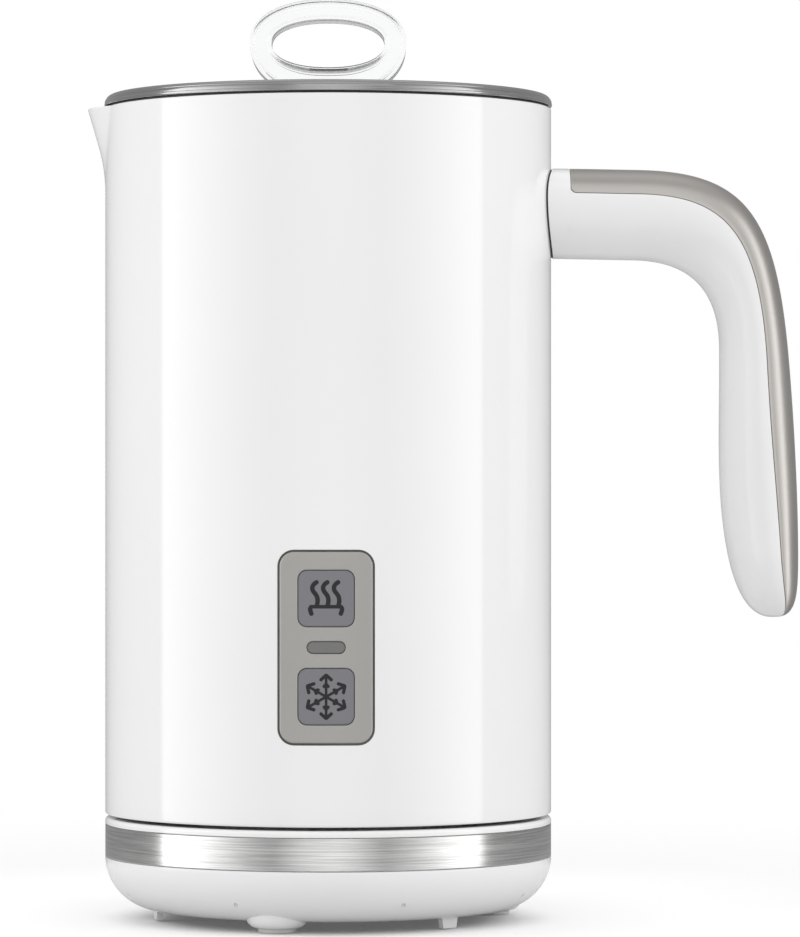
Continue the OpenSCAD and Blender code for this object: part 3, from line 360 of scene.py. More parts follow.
def put(name, data):
    """A new object in the scene that shows this data."""
    made = bpy.data.objects.new(name, data)
    bpy.context.scene.collection.objects.link(made)
    return made


def soften(mesh, crease=32):
    """Smooth shading, apart from edges sharper than the crease, in degrees."""
    mesh.polygons.foreach_set("use_smooth", np.ones(len(mesh.polygons), bool))
    mesh.set_sharp_from_angle(angle=math.radians(crease))


def solid(name, patches, crease=32):
    """Welds patches of points into one closed mesh that faces outwards: points closer than the weld become one."""
    weld = 0.002 * MM
    points, faces = join(patches)
    points = (points + [AXIS_X, 0, 0]) * MM
    mesh = bpy.data.meshes.new(name)
    mesh.from_pydata(points.tolist(), [], faces.tolist())
    shape = bmesh.new()
    shape.from_mesh(mesh)
    bmesh.ops.remove_doubles(shape, verts=shape.verts, dist=weld)
    bmesh.ops.recalc_face_normals(shape, faces=shape.faces)
    loose = [v for v in shape.verts if not v.link_faces]
    bmesh.ops.delete(shape, geom=loose, context="VERTS")
    shape.to_mesh(mesh)
    shape.free()
    soften(mesh, crease)
    return put(name, mesh)


def combine(piece, tool, operation):
    """Adds a tool's solid to a piece, cuts it away, or keeps what they share. The tool is used up."""
    change = piece.modifiers.new("combine", "BOOLEAN")
    change.object, change.operation, change.solver = tool, operation, "EXACT"
    bpy.context.view_layer.update()
    mesh = bpy.data.meshes.new_from_object(piece.evaluated_get(bpy.context.evaluated_depsgraph_get()))
    piece.modifiers.clear()
    piece.data = mesh
    bpy.data.objects.remove(tool)
    soften(mesh)


def dress(piece, body, slot, hides=(), finish=None):
    """Gives a solid the CAD body it rides on and the finish of its slot, or another finish where one is named, and
    hides the CAD nodes that it stands for."""
    piece.data.materials.append(FINISH[finish or slot])
    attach(piece, body)
    if hides:
        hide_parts(*hides)


def make(name, patches, body, slot, hides=(), finish=None, crease=32):
    """Makes patches a dressed piece."""
    dress(solid(name, patches, crease), body, slot, hides, finish)


# ---------- finishes ----------


class Wire:
    """One output of a node. Arithmetic on it adds Math nodes to the same board."""

    def __init__(self, board, socket):
        self.board, self.socket = board, socket

    def math(self, operation, *values):
        """A Math node over these values and wires."""
        return self.board.add("ShaderNodeMath", {"operation": operation}, dict(enumerate(values)))

    def of(self, name):
        """Another output of the same node."""
        return Wire(self.board, self.socket.node.outputs[name])

    def __add__(self, other):
        return self.math("ADD", self, other)

    def __sub__(self, other):
        return self.math("SUBTRACT", self, other)

    def __rsub__(self, other):
        return self.math("SUBTRACT", other, self)

    def __mul__(self, other):
        return self.math("MULTIPLY", self, other)

    def __truediv__(self, other):
        return self.math("DIVIDE", self, other)

    def __pow__(self, other):
        return self.math("POWER", self, other)

    __radd__ = __add__
    __rmul__ = __mul__

    def between(self, low, high):
        """0 below low, 1 above high, and smooth between them."""
        return self.board.add(
            "ShaderNodeMapRange", {"interpolation_type": "SMOOTHSTEP"},
            {"Value": self, "From Min": low, "From Max": high})


class Board:
    """The nodes of one material or world."""

    def __init__(self, tree):
        self.tree = tree
        tree.nodes.clear()

    def add(self, kind, settings=None, sockets=None, out=0):
        """Adds a node: its settings first, a ramp's stops among them, then the values or wires of its sockets."""
        node = self.tree.nodes.new(kind)
        for key, value in (settings or {}).items():
            if key == "stops":
                ramp = node.color_ramp.elements
                while len(ramp) < len(value):
                    ramp.new(0.5)
                for stop, (place, level) in zip(ramp, value):
                    stop.position, stop.color = place, grey(level)
            else:
                setattr(node, key, value)
        for key, value in (sockets or {}).items():
            if isinstance(value, Wire):
                self.tree.links.new(value.socket, node.inputs[key])
            else:
                node.inputs[key].default_value = value
        return Wire(self, node.outputs[out]) if node.outputs else None

    def place(self, scale=(1, 1, 1), turn=(0, 0, 0)):
        """Object coordinates in metres, stretched and turned."""
        at = self.add("ShaderNodeTexCoord", out="Object")
        return self.add("ShaderNodeMapping", {}, {"Vector": at, "Scale": scale, "Rotation": turn})

    def parts(self, vector):
        """The x, y and z of a vector."""
        x = self.add("ShaderNodeSeparateXYZ", {}, {0: vector})
        return x, x.of("Y"), x.of("Z")

    def about_axis(self):
        """Object coordinates in metres, measured from the jug's axis, as x, y and z."""
        x, y, z = self.parts(self.add("ShaderNodeTexCoord", out="Object"))
        return x - AXIS_X * MM, y, z

    def noise(self, vector, scale, detail=3.0, rough=0.5):
        """Soft noise from 0 to 1; a greater scale makes it finer."""
        return self.add("ShaderNodeTexNoise", {}, {
            "Vector": vector, "Scale": scale, "Detail": detail, "Roughness": rough})

    def mix(self, share, a, b):
        """Colour a where share is 0 and b where it is 1."""
        return self.add("ShaderNodeMix", {"data_type": "RGBA"}, {0: share, 6: a, 7: b}, out=2)

    def bump(self, height, depth):
        """Normals as if the surface stood up by a depth, in metres, where height is 1."""
        return self.add("ShaderNodeBump", {}, {"Strength": 1.0, "Distance": depth, "Height": height})

    def finish(self, **sockets):
        """The Principled shader with these sockets, led to the output."""
        names = {key.replace("_", " ").title().replace("Ior", "IOR"): value for key, value in sockets.items()}
        shader = self.add("ShaderNodeBsdfPrincipled", {}, names)
        self.add("ShaderNodeOutputMaterial", {}, {"Surface": shader})


def new_finish(name):
    """An empty material and its board."""
    made = bpy.data.materials.new(name)
    made.use_nodes = True
    return made, Board(made.node_tree)


def shade(colour, factor):
    """A colour made darker or lighter."""
    return (*(min(1.0, c * factor) for c in colour[:3]), 1)


def grey(level):
    """A colour that is equally red, green and blue."""
    return level, level, level, 1


def moulding(name, colour, rough=0.3, grain=0.0, grain_size=0.0006, cloud=0.02, metal=0.0):
    """Moulded or painted surface: a faint cloudiness in colour and gloss, and a fine grain of a depth and size."""
    made, b = new_finish(name)
    where = b.place()
    clouds = b.noise(where, 22, 3)
    fine = b.noise(where, 1 / grain_size, 2, 0.6)
    tone = b.mix(clouds.between(0.3, 0.7), shade(colour, 1 - cloud), shade(colour, 1 + cloud))
    gloss = rough * (0.92 + 0.16 * clouds) + 0.03 * rough * fine
    b.finish(base_color=tone, roughness=gloss, metallic=metal, normal=b.bump(fine, grain))
    return made


def dimpled(name, colour, rough, height, count, turn):
    """Glossy moulding with small round dimples at one height, evenly round the jug's axis: a dimple is where the
    distance from the nearest of them, along the circle and up, is under half a millimetre. Its colour is painted darker
    in each dimple, as painted shade."""
    made, b = new_finish(name)
    x, y, z = b.about_axis()
    share = x.math("ARCTAN2", x, y * -1) * (count / (2 * math.pi)) - turn * count / 360 + 0.5
    along = (share.math("FRACT", share) - 0.5) * (2 * math.pi / count) * (x * x + y * y) ** 0.5
    up = z - height * MM
    away = (along * along + up * up) ** 0.5
    dimple_and_painted_shade = away.between(0.0002, 0.0005)
    clouds = b.noise(b.place(), 22, 3)
    # Painted shade: the colour is darker in the middle of each dimple.
    tone = b.mix(dimple_and_painted_shade, shade(colour, 0.88), shade(colour, 1))
    b.finish(base_color=tone, roughness=rough * (0.92 + 0.16 * clouds), normal=b.bump(dimple_and_painted_shade, 0.0003))
    return made


def brushed(name, colour, along, rough=0.26, depth=0.000004, contrast=0.10, spread=0.0):
    """Brushed metal: long streaks, drawn by noise that is stretched along the brushing, in colour, gloss and relief.
    A spread widens reflections across a brushing that runs round the piece."""
    made, b = new_finish(name)
    streaks = b.noise(b.place(along), 1, 5, 0.62)
    broad = b.noise(b.place(tuple(a * 0.22 for a in along)), 1, 2)
    mark = 0.7 * streaks + 0.3 * broad
    tone = b.mix(mark.between(0.36, 0.64), shade(colour, 1 - contrast), shade(colour, 1 + contrast))
    b.finish(base_color=tone, roughness=rough * (0.75 + 0.5 * mark), metallic=1.0, anisotropic=spread,
             anisotropic_rotation=0.25, normal=b.bump(mark, depth))
    return made


def turned(name, colour):
    """Lacquered metal that was turned: fine rings about the jug's axis, drawn by noise over the distance from that
    axis and the height, under a clear coat."""
    made, b = new_finish(name)
    x, y, z = b.about_axis()
    radius = (x * x + y * y) ** 0.5
    rings = b.noise(b.add("ShaderNodeCombineXYZ", {}, {"X": radius * 1500, "Y": z * 1100}), 1, 3, 0.6)
    smear = b.noise(b.place(), 40, 3)
    tone = b.mix(rings.between(0.3, 0.7), shade(colour, 0.82), shade(colour, 1.2))
    b.finish(base_color=tone, roughness=0.12 + 0.05 * smear, metallic=0.8, coat_weight=0.3, coat_roughness=0.04,
             normal=b.bump(rings, 0.000004))
    return made


def polished(name, colour, rough=0.12):
    """Plated or polished metal, with a few faint smears in its gloss and hairline marks."""
    made, b = new_finish(name)
    smear = b.noise(b.place(), 90, 3)
    hair = b.noise(b.place((60, 900, 900)), 1, 2)
    tone = b.mix(smear.between(0.35, 0.65), shade(colour, 0.95), shade(colour, 1.03))
    b.finish(base_color=tone, roughness=rough * (0.8 + 0.5 * smear), metallic=1.0, normal=b.bump(hair, 0.000001))
    return made


def soft_rubber(name, colour, rough=0.55):
    """Rubber or silicone: matt, slightly dusty where its fine grain stands up."""
    made, b = new_finish(name)
    grain = b.noise(b.place(), 1800, 3, 0.6)
    dust = b.noise(b.place(), 60, 3)
    tone = b.mix(dust.between(0.4, 0.7), shade(colour, 0.9), shade(colour, 1.25))
    b.finish(base_color=tone, roughness=rough + 0.12 * grain, normal=b.bump(grain, 0.000015))
    return made


def coated_pan(name, colour):
    """Non-stick coating: dark, half gloss, with the fine orange-peel relief of a sprayed film and pale specks."""
    made, b = new_finish(name)
    peel = b.noise(b.place(), 520, 3)
    specks = b.add("ShaderNodeTexVoronoi", {}, {"Vector": b.place(), "Scale": 1300}, out="Distance")
    tone = b.mix((1 - specks.between(0.05, 0.16)) * 0.25, shade(colour, 1), (0.35, 0.35, 0.36, 1))
    b.finish(base_color=tone, roughness=0.32 + 0.1 * peel, normal=b.bump(peel, 0.00001))
    return made


def circuit(name, colour):
    """Varnished board: copper tracks under the green lacquer, on a square grid of cells."""
    made, b = new_finish(name)
    tracks = b.add("ShaderNodeTexBrick", {"offset": 0.5}, {"Vector": b.place(), "Scale": 420, "Mortar Size": 0.06},
                   out="Fac")
    gloss = b.noise(b.place(), 200, 2)
    tone = b.mix(tracks * 0.8, shade(colour, 1), shade(colour, 2.1))
    b.finish(base_color=tone, roughness=0.3 + 0.15 * gloss, normal=b.bump(tracks, 0.00002))
    return made


def woven_sleeve(name, colour):
    """Braided sleeve: two sets of threads that cross at an angle."""
    made, b = new_finish(name)
    one = b.add("ShaderNodeTexWave", {}, {"Vector": b.place(turn=(0.6, 0.5, 0.8)), "Scale": 420})
    two = b.add("ShaderNodeTexWave", {}, {"Vector": b.place(turn=(0.6, 0.5, -0.8)), "Scale": 420})
    threads = (one + two) * 0.5
    tone = b.mix(threads, shade(colour, 0.6), shade(colour, 1.1))
    b.finish(base_color=tone, roughness=0.8, normal=b.bump(threads, 0.00004))
    return made


def clear_moulding(name):
    """Clear moulded plastic: light passes through, and faint flow marks show in its gloss."""
    made, b = new_finish(name)
    flow = b.noise(b.place((30, 30, 90)), 1, 3)
    tone = b.mix(flow.between(0.3, 0.7), (0.925, 0.93, 0.93, 1), (0.955, 0.96, 0.96, 1))
    b.finish(base_color=tone, roughness=0.02 + 0.02 * flow, transmission_weight=1.0, ior=1.49,
             normal=b.bump(flow, 0.000004))
    return made


def build_finishes(colours):
    """Every finish, by the record's slot or by a plain name of its own."""
    white = tuple(colours.white)
    return {
        "white_moulding": moulding("gloss_white", white, 0.08, 0.0000004, 0.0009, 0.006),
        "base_inner_moulding": moulding("plain_light", (0.70, 0.70, 0.69), 0.45, 0.000006, 0.0005),
        "glide": moulding("slippery_white", (0.78, 0.78, 0.75), 0.35, 0.000003, 0.0005),
        "trim_steel": brushed("steel_brushed_round", tuple(colours.steel), (50, 50, 3200), 0.215, 0.000003, 0.2,
                              0.35),
        "contact_metal": polished("contact_plating", (0.83, 0.63, 0.28), 0.22),
        "foot_rubber": soft_rubber("pad_grey", (0.74, 0.74, 0.73)),
        "dark_rubber": soft_rubber("seal_dark", (0.028, 0.028, 0.028)),
        "screw_steel": brushed("screw_plating", (0.66, 0.66, 0.65), (700, 700, 700), 0.3),
        "connector_moulding": moulding("connector_dark", (0.045, 0.045, 0.05), 0.5, 0.00001, 0.0005, 0.08),
        "board_green": circuit("board_lacquer", (0.02, 0.13, 0.05)),
        "relay_blue": moulding("relay_blue", (0.03, 0.10, 0.36), 0.4, 0.000006),
        "capacitor_brown": moulding("capacitor_sleeve", (0.12, 0.06, 0.03), 0.35, 0.000004, 0.0006, 0.1),
        "pot_coating": coated_pan("pot_coating", (0.055, 0.055, 0.057)),
        "heater_alloy": moulding("cast_alloy", (0.62, 0.62, 0.63), 0.48, 0.00003, 0.0008, 0.06, 1.0),
        "heater_sheath": brushed("tube_sheath", (0.42, 0.41, 0.4), (900, 900, 900), 0.42),
        "thermostat_metal": polished("thermostat_cap", (0.68, 0.63, 0.52), 0.3),
        "fuse_sleeve": woven_sleeve("fuse_braid", (0.62, 0.56, 0.42)),
        "bracket_steel": brushed("bracket_sheet", (0.58, 0.58, 0.58), (120, 1600, 1600), 0.34),
        "motor_steel": brushed("motor_can", (0.5, 0.5, 0.51), (30, 30, 2200), 0.34),
        "carrier_moulding": moulding("carrier_dark", (0.028, 0.03, 0.032), 0.42, 0.000008, 0.0005, 0.08),
        "magnet_plating": polished("magnet_plating", (0.68, 0.68, 0.7), 0.14),
        "coil_steel": polished("spring_wire", (0.72, 0.72, 0.72), 0.16),
        "panel_silver": moulding("panel_silver", tuple(colours.panel), 0.42, 0.0000015, 0.0004, 0.015, 0.25),
        "button_grey": moulding("button_satin", tuple(colours.button), 0.5, 0.000003, 0.0003, 0.02),
        "window_grey": moulding("lamp_window", (0.165, 0.165, 0.16), 0.45, 0.000002, 0.0004, 0.03),
        "switch_metal": polished("switch_plating", (0.6, 0.6, 0.6), 0.3),
        "led_body": moulding("lamp_lens", (0.85, 0.82, 0.6), 0.15),
        "cable_grey": moulding("flat_cable", (0.32, 0.32, 0.32), 0.5, 0.00001, 0.0012, 0.06),
        "handle_satin": moulding("satin_champagne", tuple(colours.satin), 0.42, 0.000002, 0.00022, 0.02, 1.0),
        "lid_metallic": turned("lid_silver", tuple(colours.lid)),
        "plug_moulding": moulding("plug_plain", (0.55, 0.55, 0.54), 0.45, 0.000006),
        "knob_clear": clear_moulding("knob_clear"),
        "icon_print": moulding("icon_print", tuple(colours.icon), 0.6, 0.000002, 0.0003, 0.05),
        "panel_line": soft_rubber("panel_line", (0.075, 0.074, 0.068)),
        "bowl": dimpled("gloss_white_dimpled", white, 0.08, BASE_LOW + 6, 8, -24.4),
    }


FINISH = {}

# Brightness of the studio in reflections, at degrees from the front.
STUDIO_TURN = (
    (-180, 0.3), (-112, 0.36), (-94.6, 0.42), (-93.2, 2.9), (-84, 2.7), (-62, 1.65), (-42, 0.85), (-27, 0.5),
    (-12, 1.1), (4, 1.3), (14, 1.05), (29, 0.5), (44, 0.85), (60, 1.5), (76, 2.3), (85.4, 2.5), (86.8, 0.45),
    (112, 0.36), (180, 0.3))


# ---------- operators: one for each piece or group ----------


class FROTHER_OT_finishes(bpy.types.Operator):
    """Make every finish, and paint the CAD pieces that stay in sight or inside with the finish of their slot."""

    bl_idname = "frother.finishes"
    bl_label = "Finishes"

    def execute(self, context):
        FINISH.update(build_finishes(context.scene.frother_colours))
        slots = {s["node"]: s["material_slot"] for s in frame["record"]["subparts"]}
        for node, piece in frame["nodes"].items():
            piece.data.materials.clear()
            piece.data.materials.append(FINISH[slots[node]])
        return {"FINISHED"}


class FROTHER_OT_jug(bpy.types.Operator):
    """Make the jug's white body with its spout and panel window."""

    bl_idname = "frother.jug"
    bl_label = "Jug body"

    def execute(self, context):
        sizes = context.scene.frother_sizes
        # Rounding at the foot and the rim; the window's clear space; and how far the spout's crease is filled.
        foot_r, rim_r, gap, fill = 0.5, 0.3, 0.4, 1.6
        # The part of the wall that holds the panel's window: half its width and height, and its steps across and up.
        block_x, block_z, across, up = 13.6, 23.5, 40, 48
        reach = math.degrees(math.asin(block_x / JUG_R))
        # The steps are closer at the spout.
        left, right, low = 148, 212, 154
        angle = np.radians(ticks(-90 + reach, (left, 65), (right, 80), (270 - reach, 19), (270 + reach, across)))
        height = ticks(JUG_Z + foot_r, (PANEL_Z - block_z, 5), (PANEL_Z + block_z, up), (low, 15), (RIM_Z - rim_r, 29))
        foot, rim = sweep(-90, 0, 7)[:-1], sweep(0, 90, 6)[1:]
        outer_z = np.concatenate([JUG_Z + foot_r + foot_r * np.sin(foot), height, RIM_Z - rim_r + rim_r * np.sin(rim)])
        outer_off = np.concatenate([foot_r * np.cos(foot) - foot_r, 0 * height, rim_r * np.cos(rim) - rim_r])

        def skin(z, off, radius, inset):
            """One side of the wall: its heights and their distances beyond its radius, with the spout set in."""
            z = z[:, None]
            return around(soft_max(radius + 0 * z, spout_reach(angle, z, inset), fill) + off[:, None], angle, z)

        outer = skin(outer_z, outer_off, JUG_R, 0)
        inner = skin(outer_z[::-1], -outer_off[::-1] * 0.2, JUG_IN, JUG_WALL)
        patches = [np.concatenate([outer[-1:], inner[:1]]), np.concatenate([inner[-1:], outer[:1]])]
        first = len(foot) + 5
        rows, cols = slice(first, first + up + 1), slice(len(angle) - across - 1, len(angle))
        hole = None
        for wall in (outer, inner[::-1]):
            block = wall[rows, cols]
            loop = np.concatenate([block[0], block[1:, -1], block[-1, -2::-1], block[-2::-1, 0]])
            flat = loop[:, [0, 2]]
            if hole is None:
                hole = meet(flat, np.array([0, PANEL_Z]), sizes.panel_width / MM + 2 * gap,
                            sizes.panel_height / MM + 2 * gap, sizes.panel_corner / MM + gap)
            r = math.hypot(loop[0, 0], loop[0, 1])
            patches.append(np.concatenate([loop[None], wrap(between(flat, hole, 6)[1:], r)]))
            patches += [wall[:first + 1], wall[first + up:], wall[rows, :len(angle) - across]]
        patches.append(np.stack([wrap(hole, r) for r in (JUG_R, JUG_R - 0.2, JUG_IN)]))
        make("jug_body", patches, "jug", "white_moulding", ["jug_shell"])
        return {"FINISHED"}


class FROTHER_OT_panel(bpy.types.Operator):
    """Make the control panel: its plate, dark seal, two buttons with their icons, and the status window."""

    bl_idname = "frother.panel"
    bl_label = "Control panel"

    # Corner radius of a button and its clear space; width, height and corner of the window, its clear space and the
    # radius of its back.
    button_r, button_gap = 1.85, 0.08
    window, window_gap, window_back = (7.8, 2.4, 1.19), 0.07, 44.6

    def execute(self, context):
        sizes = context.scene.frother_sizes
        w, h, r = sizes.panel_width / MM, sizes.panel_height / MM, sizes.panel_corner / MM
        side = sizes.button_side / MM
        # The plate stands a little proud of the jug; its buttons and window lie a little lower than its front.
        front, back, sunk, window_edge = JUG_R + 0.2, JUG_IN - 0.6, 0.1, 0.25
        centre = np.array([0, PANEL_Z])
        self.plate(w, h, r, side, front, back)
        core, n = rounded_loop(w, h, r, 10, 24)
        # The seal's section, as distances beyond the plate's edge and from the jug's axis.
        root, near, far = 46.6, 0.02, 0.37
        ring = [(near, root), (near, JUG_R - 0.14), (0.05, JUG_R - 0.05), (0.12, JUG_R - 0.01),
                (0.28, JUG_R - 0.01), (0.35, JUG_R - 0.05), (far, JUG_R - 0.14), (far, root), (near, root)]
        seal = np.stack([wrap(core + (r + g) * n + centre, d) for g, d in ring])
        make("panel_seal", [seal], "jug", "dark_rubber", ["panel_gasket"], "panel_line")
        lamp = slab(*self.window, front - sunk, window_edge, self.window_back, centre)
        make("lamp_window", lamp, "jug", "window_grey", ["status_window"])
        self.buttons(side, front - sunk, sizes.icon_line / MM)
        return {"FINISHED"}

    def plate(self, w, h, r, side, front, back):
        """The plate: three frames above each other, with a hole in each whose front edge is turned in, and round them
        an outer side with a turned front edge."""
        # Half the straight part of each side; where the frames meet; the steps along each side; the edge's radius.
        a, b = w / 2 - r, h / 2 - r
        cut, fine, edge_r = 2.9, 28, 0.38
        centre = np.array([0, PANEL_Z])
        # Widening a hole by a distance adds so many times that distance to its width, height and corner.
        widen = np.array([2, 2, 1])
        key_hole = (side, side, self.button_r) + widen * self.button_gap
        lamp_hole = self.window + widen * self.window_gap
        xs = np.linspace(-a, a, fine + 1)
        patches = []
        for low, high, z, hole in (
                (cut, b, HOT_Z - PANEL_Z, key_hole), (-cut, cut, 0, lamp_hole), (-b, -cut, COLD_Z - PANEL_Z, key_hole)):
            zs = np.linspace(low, high, fine + 1)
            loop = np.concatenate([grid(xs, low), grid(a, zs)[1:], grid(xs[::-1], high)[1:], grid(-a, zs[::-1])[1:]])
            rings = [(meet(loop, np.array([0, z]), *(hole + widen * grow)) + centre, front - depth) for grow, depth in (
                (0.35, 0), (0.22, 0), (0.11, 0.03), (0.03, 0.11), (0, 0.22), (0, 0.34))]
            loop = loop + centre
            inner = rings[-1][0]
            patches += [wrap(between(loop, rings[0][0], 5), front),
                        np.stack([wrap(p, d) for p, d in (*rings, (inner, back))]),
                        wrap(between(inner, loop, 5), back)]
        core, n = [], []
        tall = ticks(-b, (-cut, fine), (cut, fine), (b, fine))
        for turn, edge in (
                (0, grid(a, tall)), (90, grid(xs[::-1], b)), (180, grid(-a, tall[::-1])), (270, grid(xs, -b))):
            t = math.radians(turn)
            arc = sweep(turn, turn + 90, 10)[1:-1]
            core += [edge, edge[-1] + 0 * arc[:, None]]
            n += [0 * edge + [math.cos(t), math.sin(t)], grid(np.cos(arc), np.sin(arc))]
        core, n = np.vstack(core + [core[0][:1]]), np.vstack(n + [n[0][:1]])
        edge = turned_edge(core, n, r, front, edge_r, back, centre)
        patches += [np.concatenate([wrap(core + centre, front)[None], edge, wrap(core + centre, back)[None]])]
        make("control_panel", patches, "jug", "panel_silver", ["panel_plate"])

    def buttons(self, side, front, width):
        """Both buttons, and their icons as printed lines: steam over a cup, and a snowflake with six arms. Lines that
        cross lie at slightly different heights."""
        print_at, key_edge, key_back = front + 0.02, 0.3, JUG_IN - 0.8
        hot = np.array([0, HOT_Z])
        steam = []
        for k, x in enumerate((-2.2, 0, 2.2)):
            knots = [[x + 0.66, 3.5, 200, 0, 0.8], [x - 0.62, 2.15, 268, 0.6, 0.8], [x + 0.42, 0.1, 280, 0.9, 0.7],
                     [x + 0.2, -1.7, 250, 0.7, 0]]
            wave = bezier_chain(knots, np.linspace(0, 3, 40))
            steam.append(stroke(wave + hot, width, print_at - 0.002 * k))
        steam += [
            stroke(line((-3.5, -1.66), (3.5, -1.66)) + hot, width * 0.8, print_at - 0.006),
            stroke(line((-3.3, -1.6), (-3.2, -2.5), (-2.85, -3.5)) + hot, width, print_at - 0.008),
            stroke(line((3.3, -1.6), (3.2, -2.5), (2.85, -3.5)) + hot, width, print_at - 0.01),
        ]
        cold = np.array([0, COLD_Z])
        flake = []
        for k in range(6):
            a = math.radians(60 * k + 90)
            turn = np.array([[math.cos(a), math.sin(a)], [-math.sin(a), math.cos(a)]])
            lift = print_at - 0.002 * k
            flake += [
                stroke(line((0, 0), (4.3, 0)) @ turn + cold, width * 0.6, lift),
                stroke(line((1.85, 0.62), (2.55, 0), (1.85, -0.62)) @ turn + cold, width * 0.75, lift - 0.001),
                stroke(line((3.25, 1.3), (4.42, 0), (3.25, -1.3)) @ turn + cold, width * 0.75, lift - 0.001),
            ]
        for name, body, node, at, icon in (
                ("hot_button_cap", "hot_key", "hot_button", hot, steam),
                ("cold_button_cap", "cold_key", "cold_button", cold, flake)):
            make(name, slab(side, side, self.button_r, front, key_edge, key_back, at), body, "button_grey", [node])
            make(node.split("_")[0] + "_icon", icon, body, "connector_moulding", finish="icon_print")


class Grip:
    """The handle's form: an outer and an inner side line, and a cross-section between them that is flat-topped outside
    and round inside. A place on it is given by u along it, an angle round it, and an inset inwards."""

    # Height at the root, width, thickness of the grip; the cover's share of the thickness, and how much that swells.
    root_h, width, grip_t, share, swell = 19.2, 23.2, 14.8, 0.296, 0.078
    # How far below the cover's lower line the section is widest, as a share of the thickness.
    below = 0.045

    def __init__(self):
        top, reach = HANDLE_TOP, HANDLE_REACH
        self.root_x, self.bend_x = JUG_R - 3, 66
        run = (self.bend_x - self.root_x) / 3
        tip_x, heel = reach - 4.7, HANDLE_TIP + 12.9
        grip = top - 41.5
        # Knots at the root, both ends of the bend, the heel and the tip, as x, z, heading, pull in and pull out.
        self.outer = [
            [self.root_x, top, 0, 0, run], [self.bend_x, top - 0.3, -1, run, 23.4],
            [reach - 1.9, grip, -85.2, 31.6, 13.5], [reach, heel, -90, 12.3, 8.3], [tip_x, HANDLE_TIP, 180, 4.4, 0]]
        self.inner = [
            [self.root_x, top - self.root_h, 0, 0, run],
            [self.bend_x - 1, top - self.root_h - 0.3, -1, run, 8.9],
            [reach - 1.9 - self.grip_t, grip + 3.3, -89.5, 15.3, 15.6],
            [reach - self.grip_t, heel, -78, 13.7, 14.6], [tip_x, HANDLE_TIP, 0, 1.2, 0]]

    def lines(self, u):
        """Points on the inner and the outer line."""
        return bezier_chain(self.inner, u), bezier_chain(self.outer, u)

    def thick(self, u):
        """Distance between both lines."""
        a, d = self.lines(u)
        return np.linalg.norm(d - a, axis=-1)

    def cover_part(self, u):
        """The cover's share of the thickness, which swells by a squared sine along bend and grip."""
        return self.share + np.where((u > 1) & (u < 3), self.swell * np.sin(np.radians(90 * (u - 1))) ** 2, 0)

    def half_width(self, u):
        """Half the width across, which falls slowly along the handle and then with the thickness to the tip."""
        end = 0.95 * (self.thick(u) / self.thick(np.array([3.0]))) ** 0.75
        return self.width / 2 * np.where(u > 3, end, 1 - 0.05 * u / 3)

    def fade(self, u):
        """Share of their full size that edges, seams and insets keep: less where the handle is under 6 mm thick."""
        return np.minimum(1, self.thick(u) / 6)

    def edge(self, u, raised):
        """Angle round the section at which the cover meets the shell, with that line raised by some millimetres."""
        t = self.thick(u)
        part = self.cover_part(u)
        wide = t * (part + self.below)
        n = t * (1 - part) + raised
        return np.degrees(np.arcsin(np.clip((n - t + wide) / wide, 0, 1) ** 1.2))

    def point(self, u, angle, inset):
        """x and z lie on the line between both side lines; y is across. The section is |y/w|^e + |n/h|^e = 1, with
        exponent 2.4 above its widest line and 1.9 below it."""
        t, w = self.thick(u), self.half_width(u)
        wide = t * (self.cover_part(u) + self.below)
        s, c = np.sin(np.radians(angle)), np.cos(np.radians(angle))
        inset = np.minimum(inset, 0.8 * np.minimum(wide, w))
        curve = np.where(s > 0, 2.4, 1.9)
        rise = np.where(s > 0, wide - inset, t - wide - inset)
        y = (w - inset) * np.sign(c) * np.abs(c) ** (2 / curve)
        n = t - wide + rise * np.sign(s) * np.abs(s) ** (2 / curve)
        a, d = self.lines(u)
        p = a + (d - a) * (n / t)[..., None]
        return grid(p[..., 0], y, p[..., 1])

    def step(self, u, angle, distance):
        """Degrees round the section that a distance along its skin takes."""
        a, b = self.point(u, angle - 0.5, 0 * u), self.point(u, angle + 0.5, 0 * u)
        return distance / np.maximum(np.linalg.norm(b - a, axis=-1), 0.01)


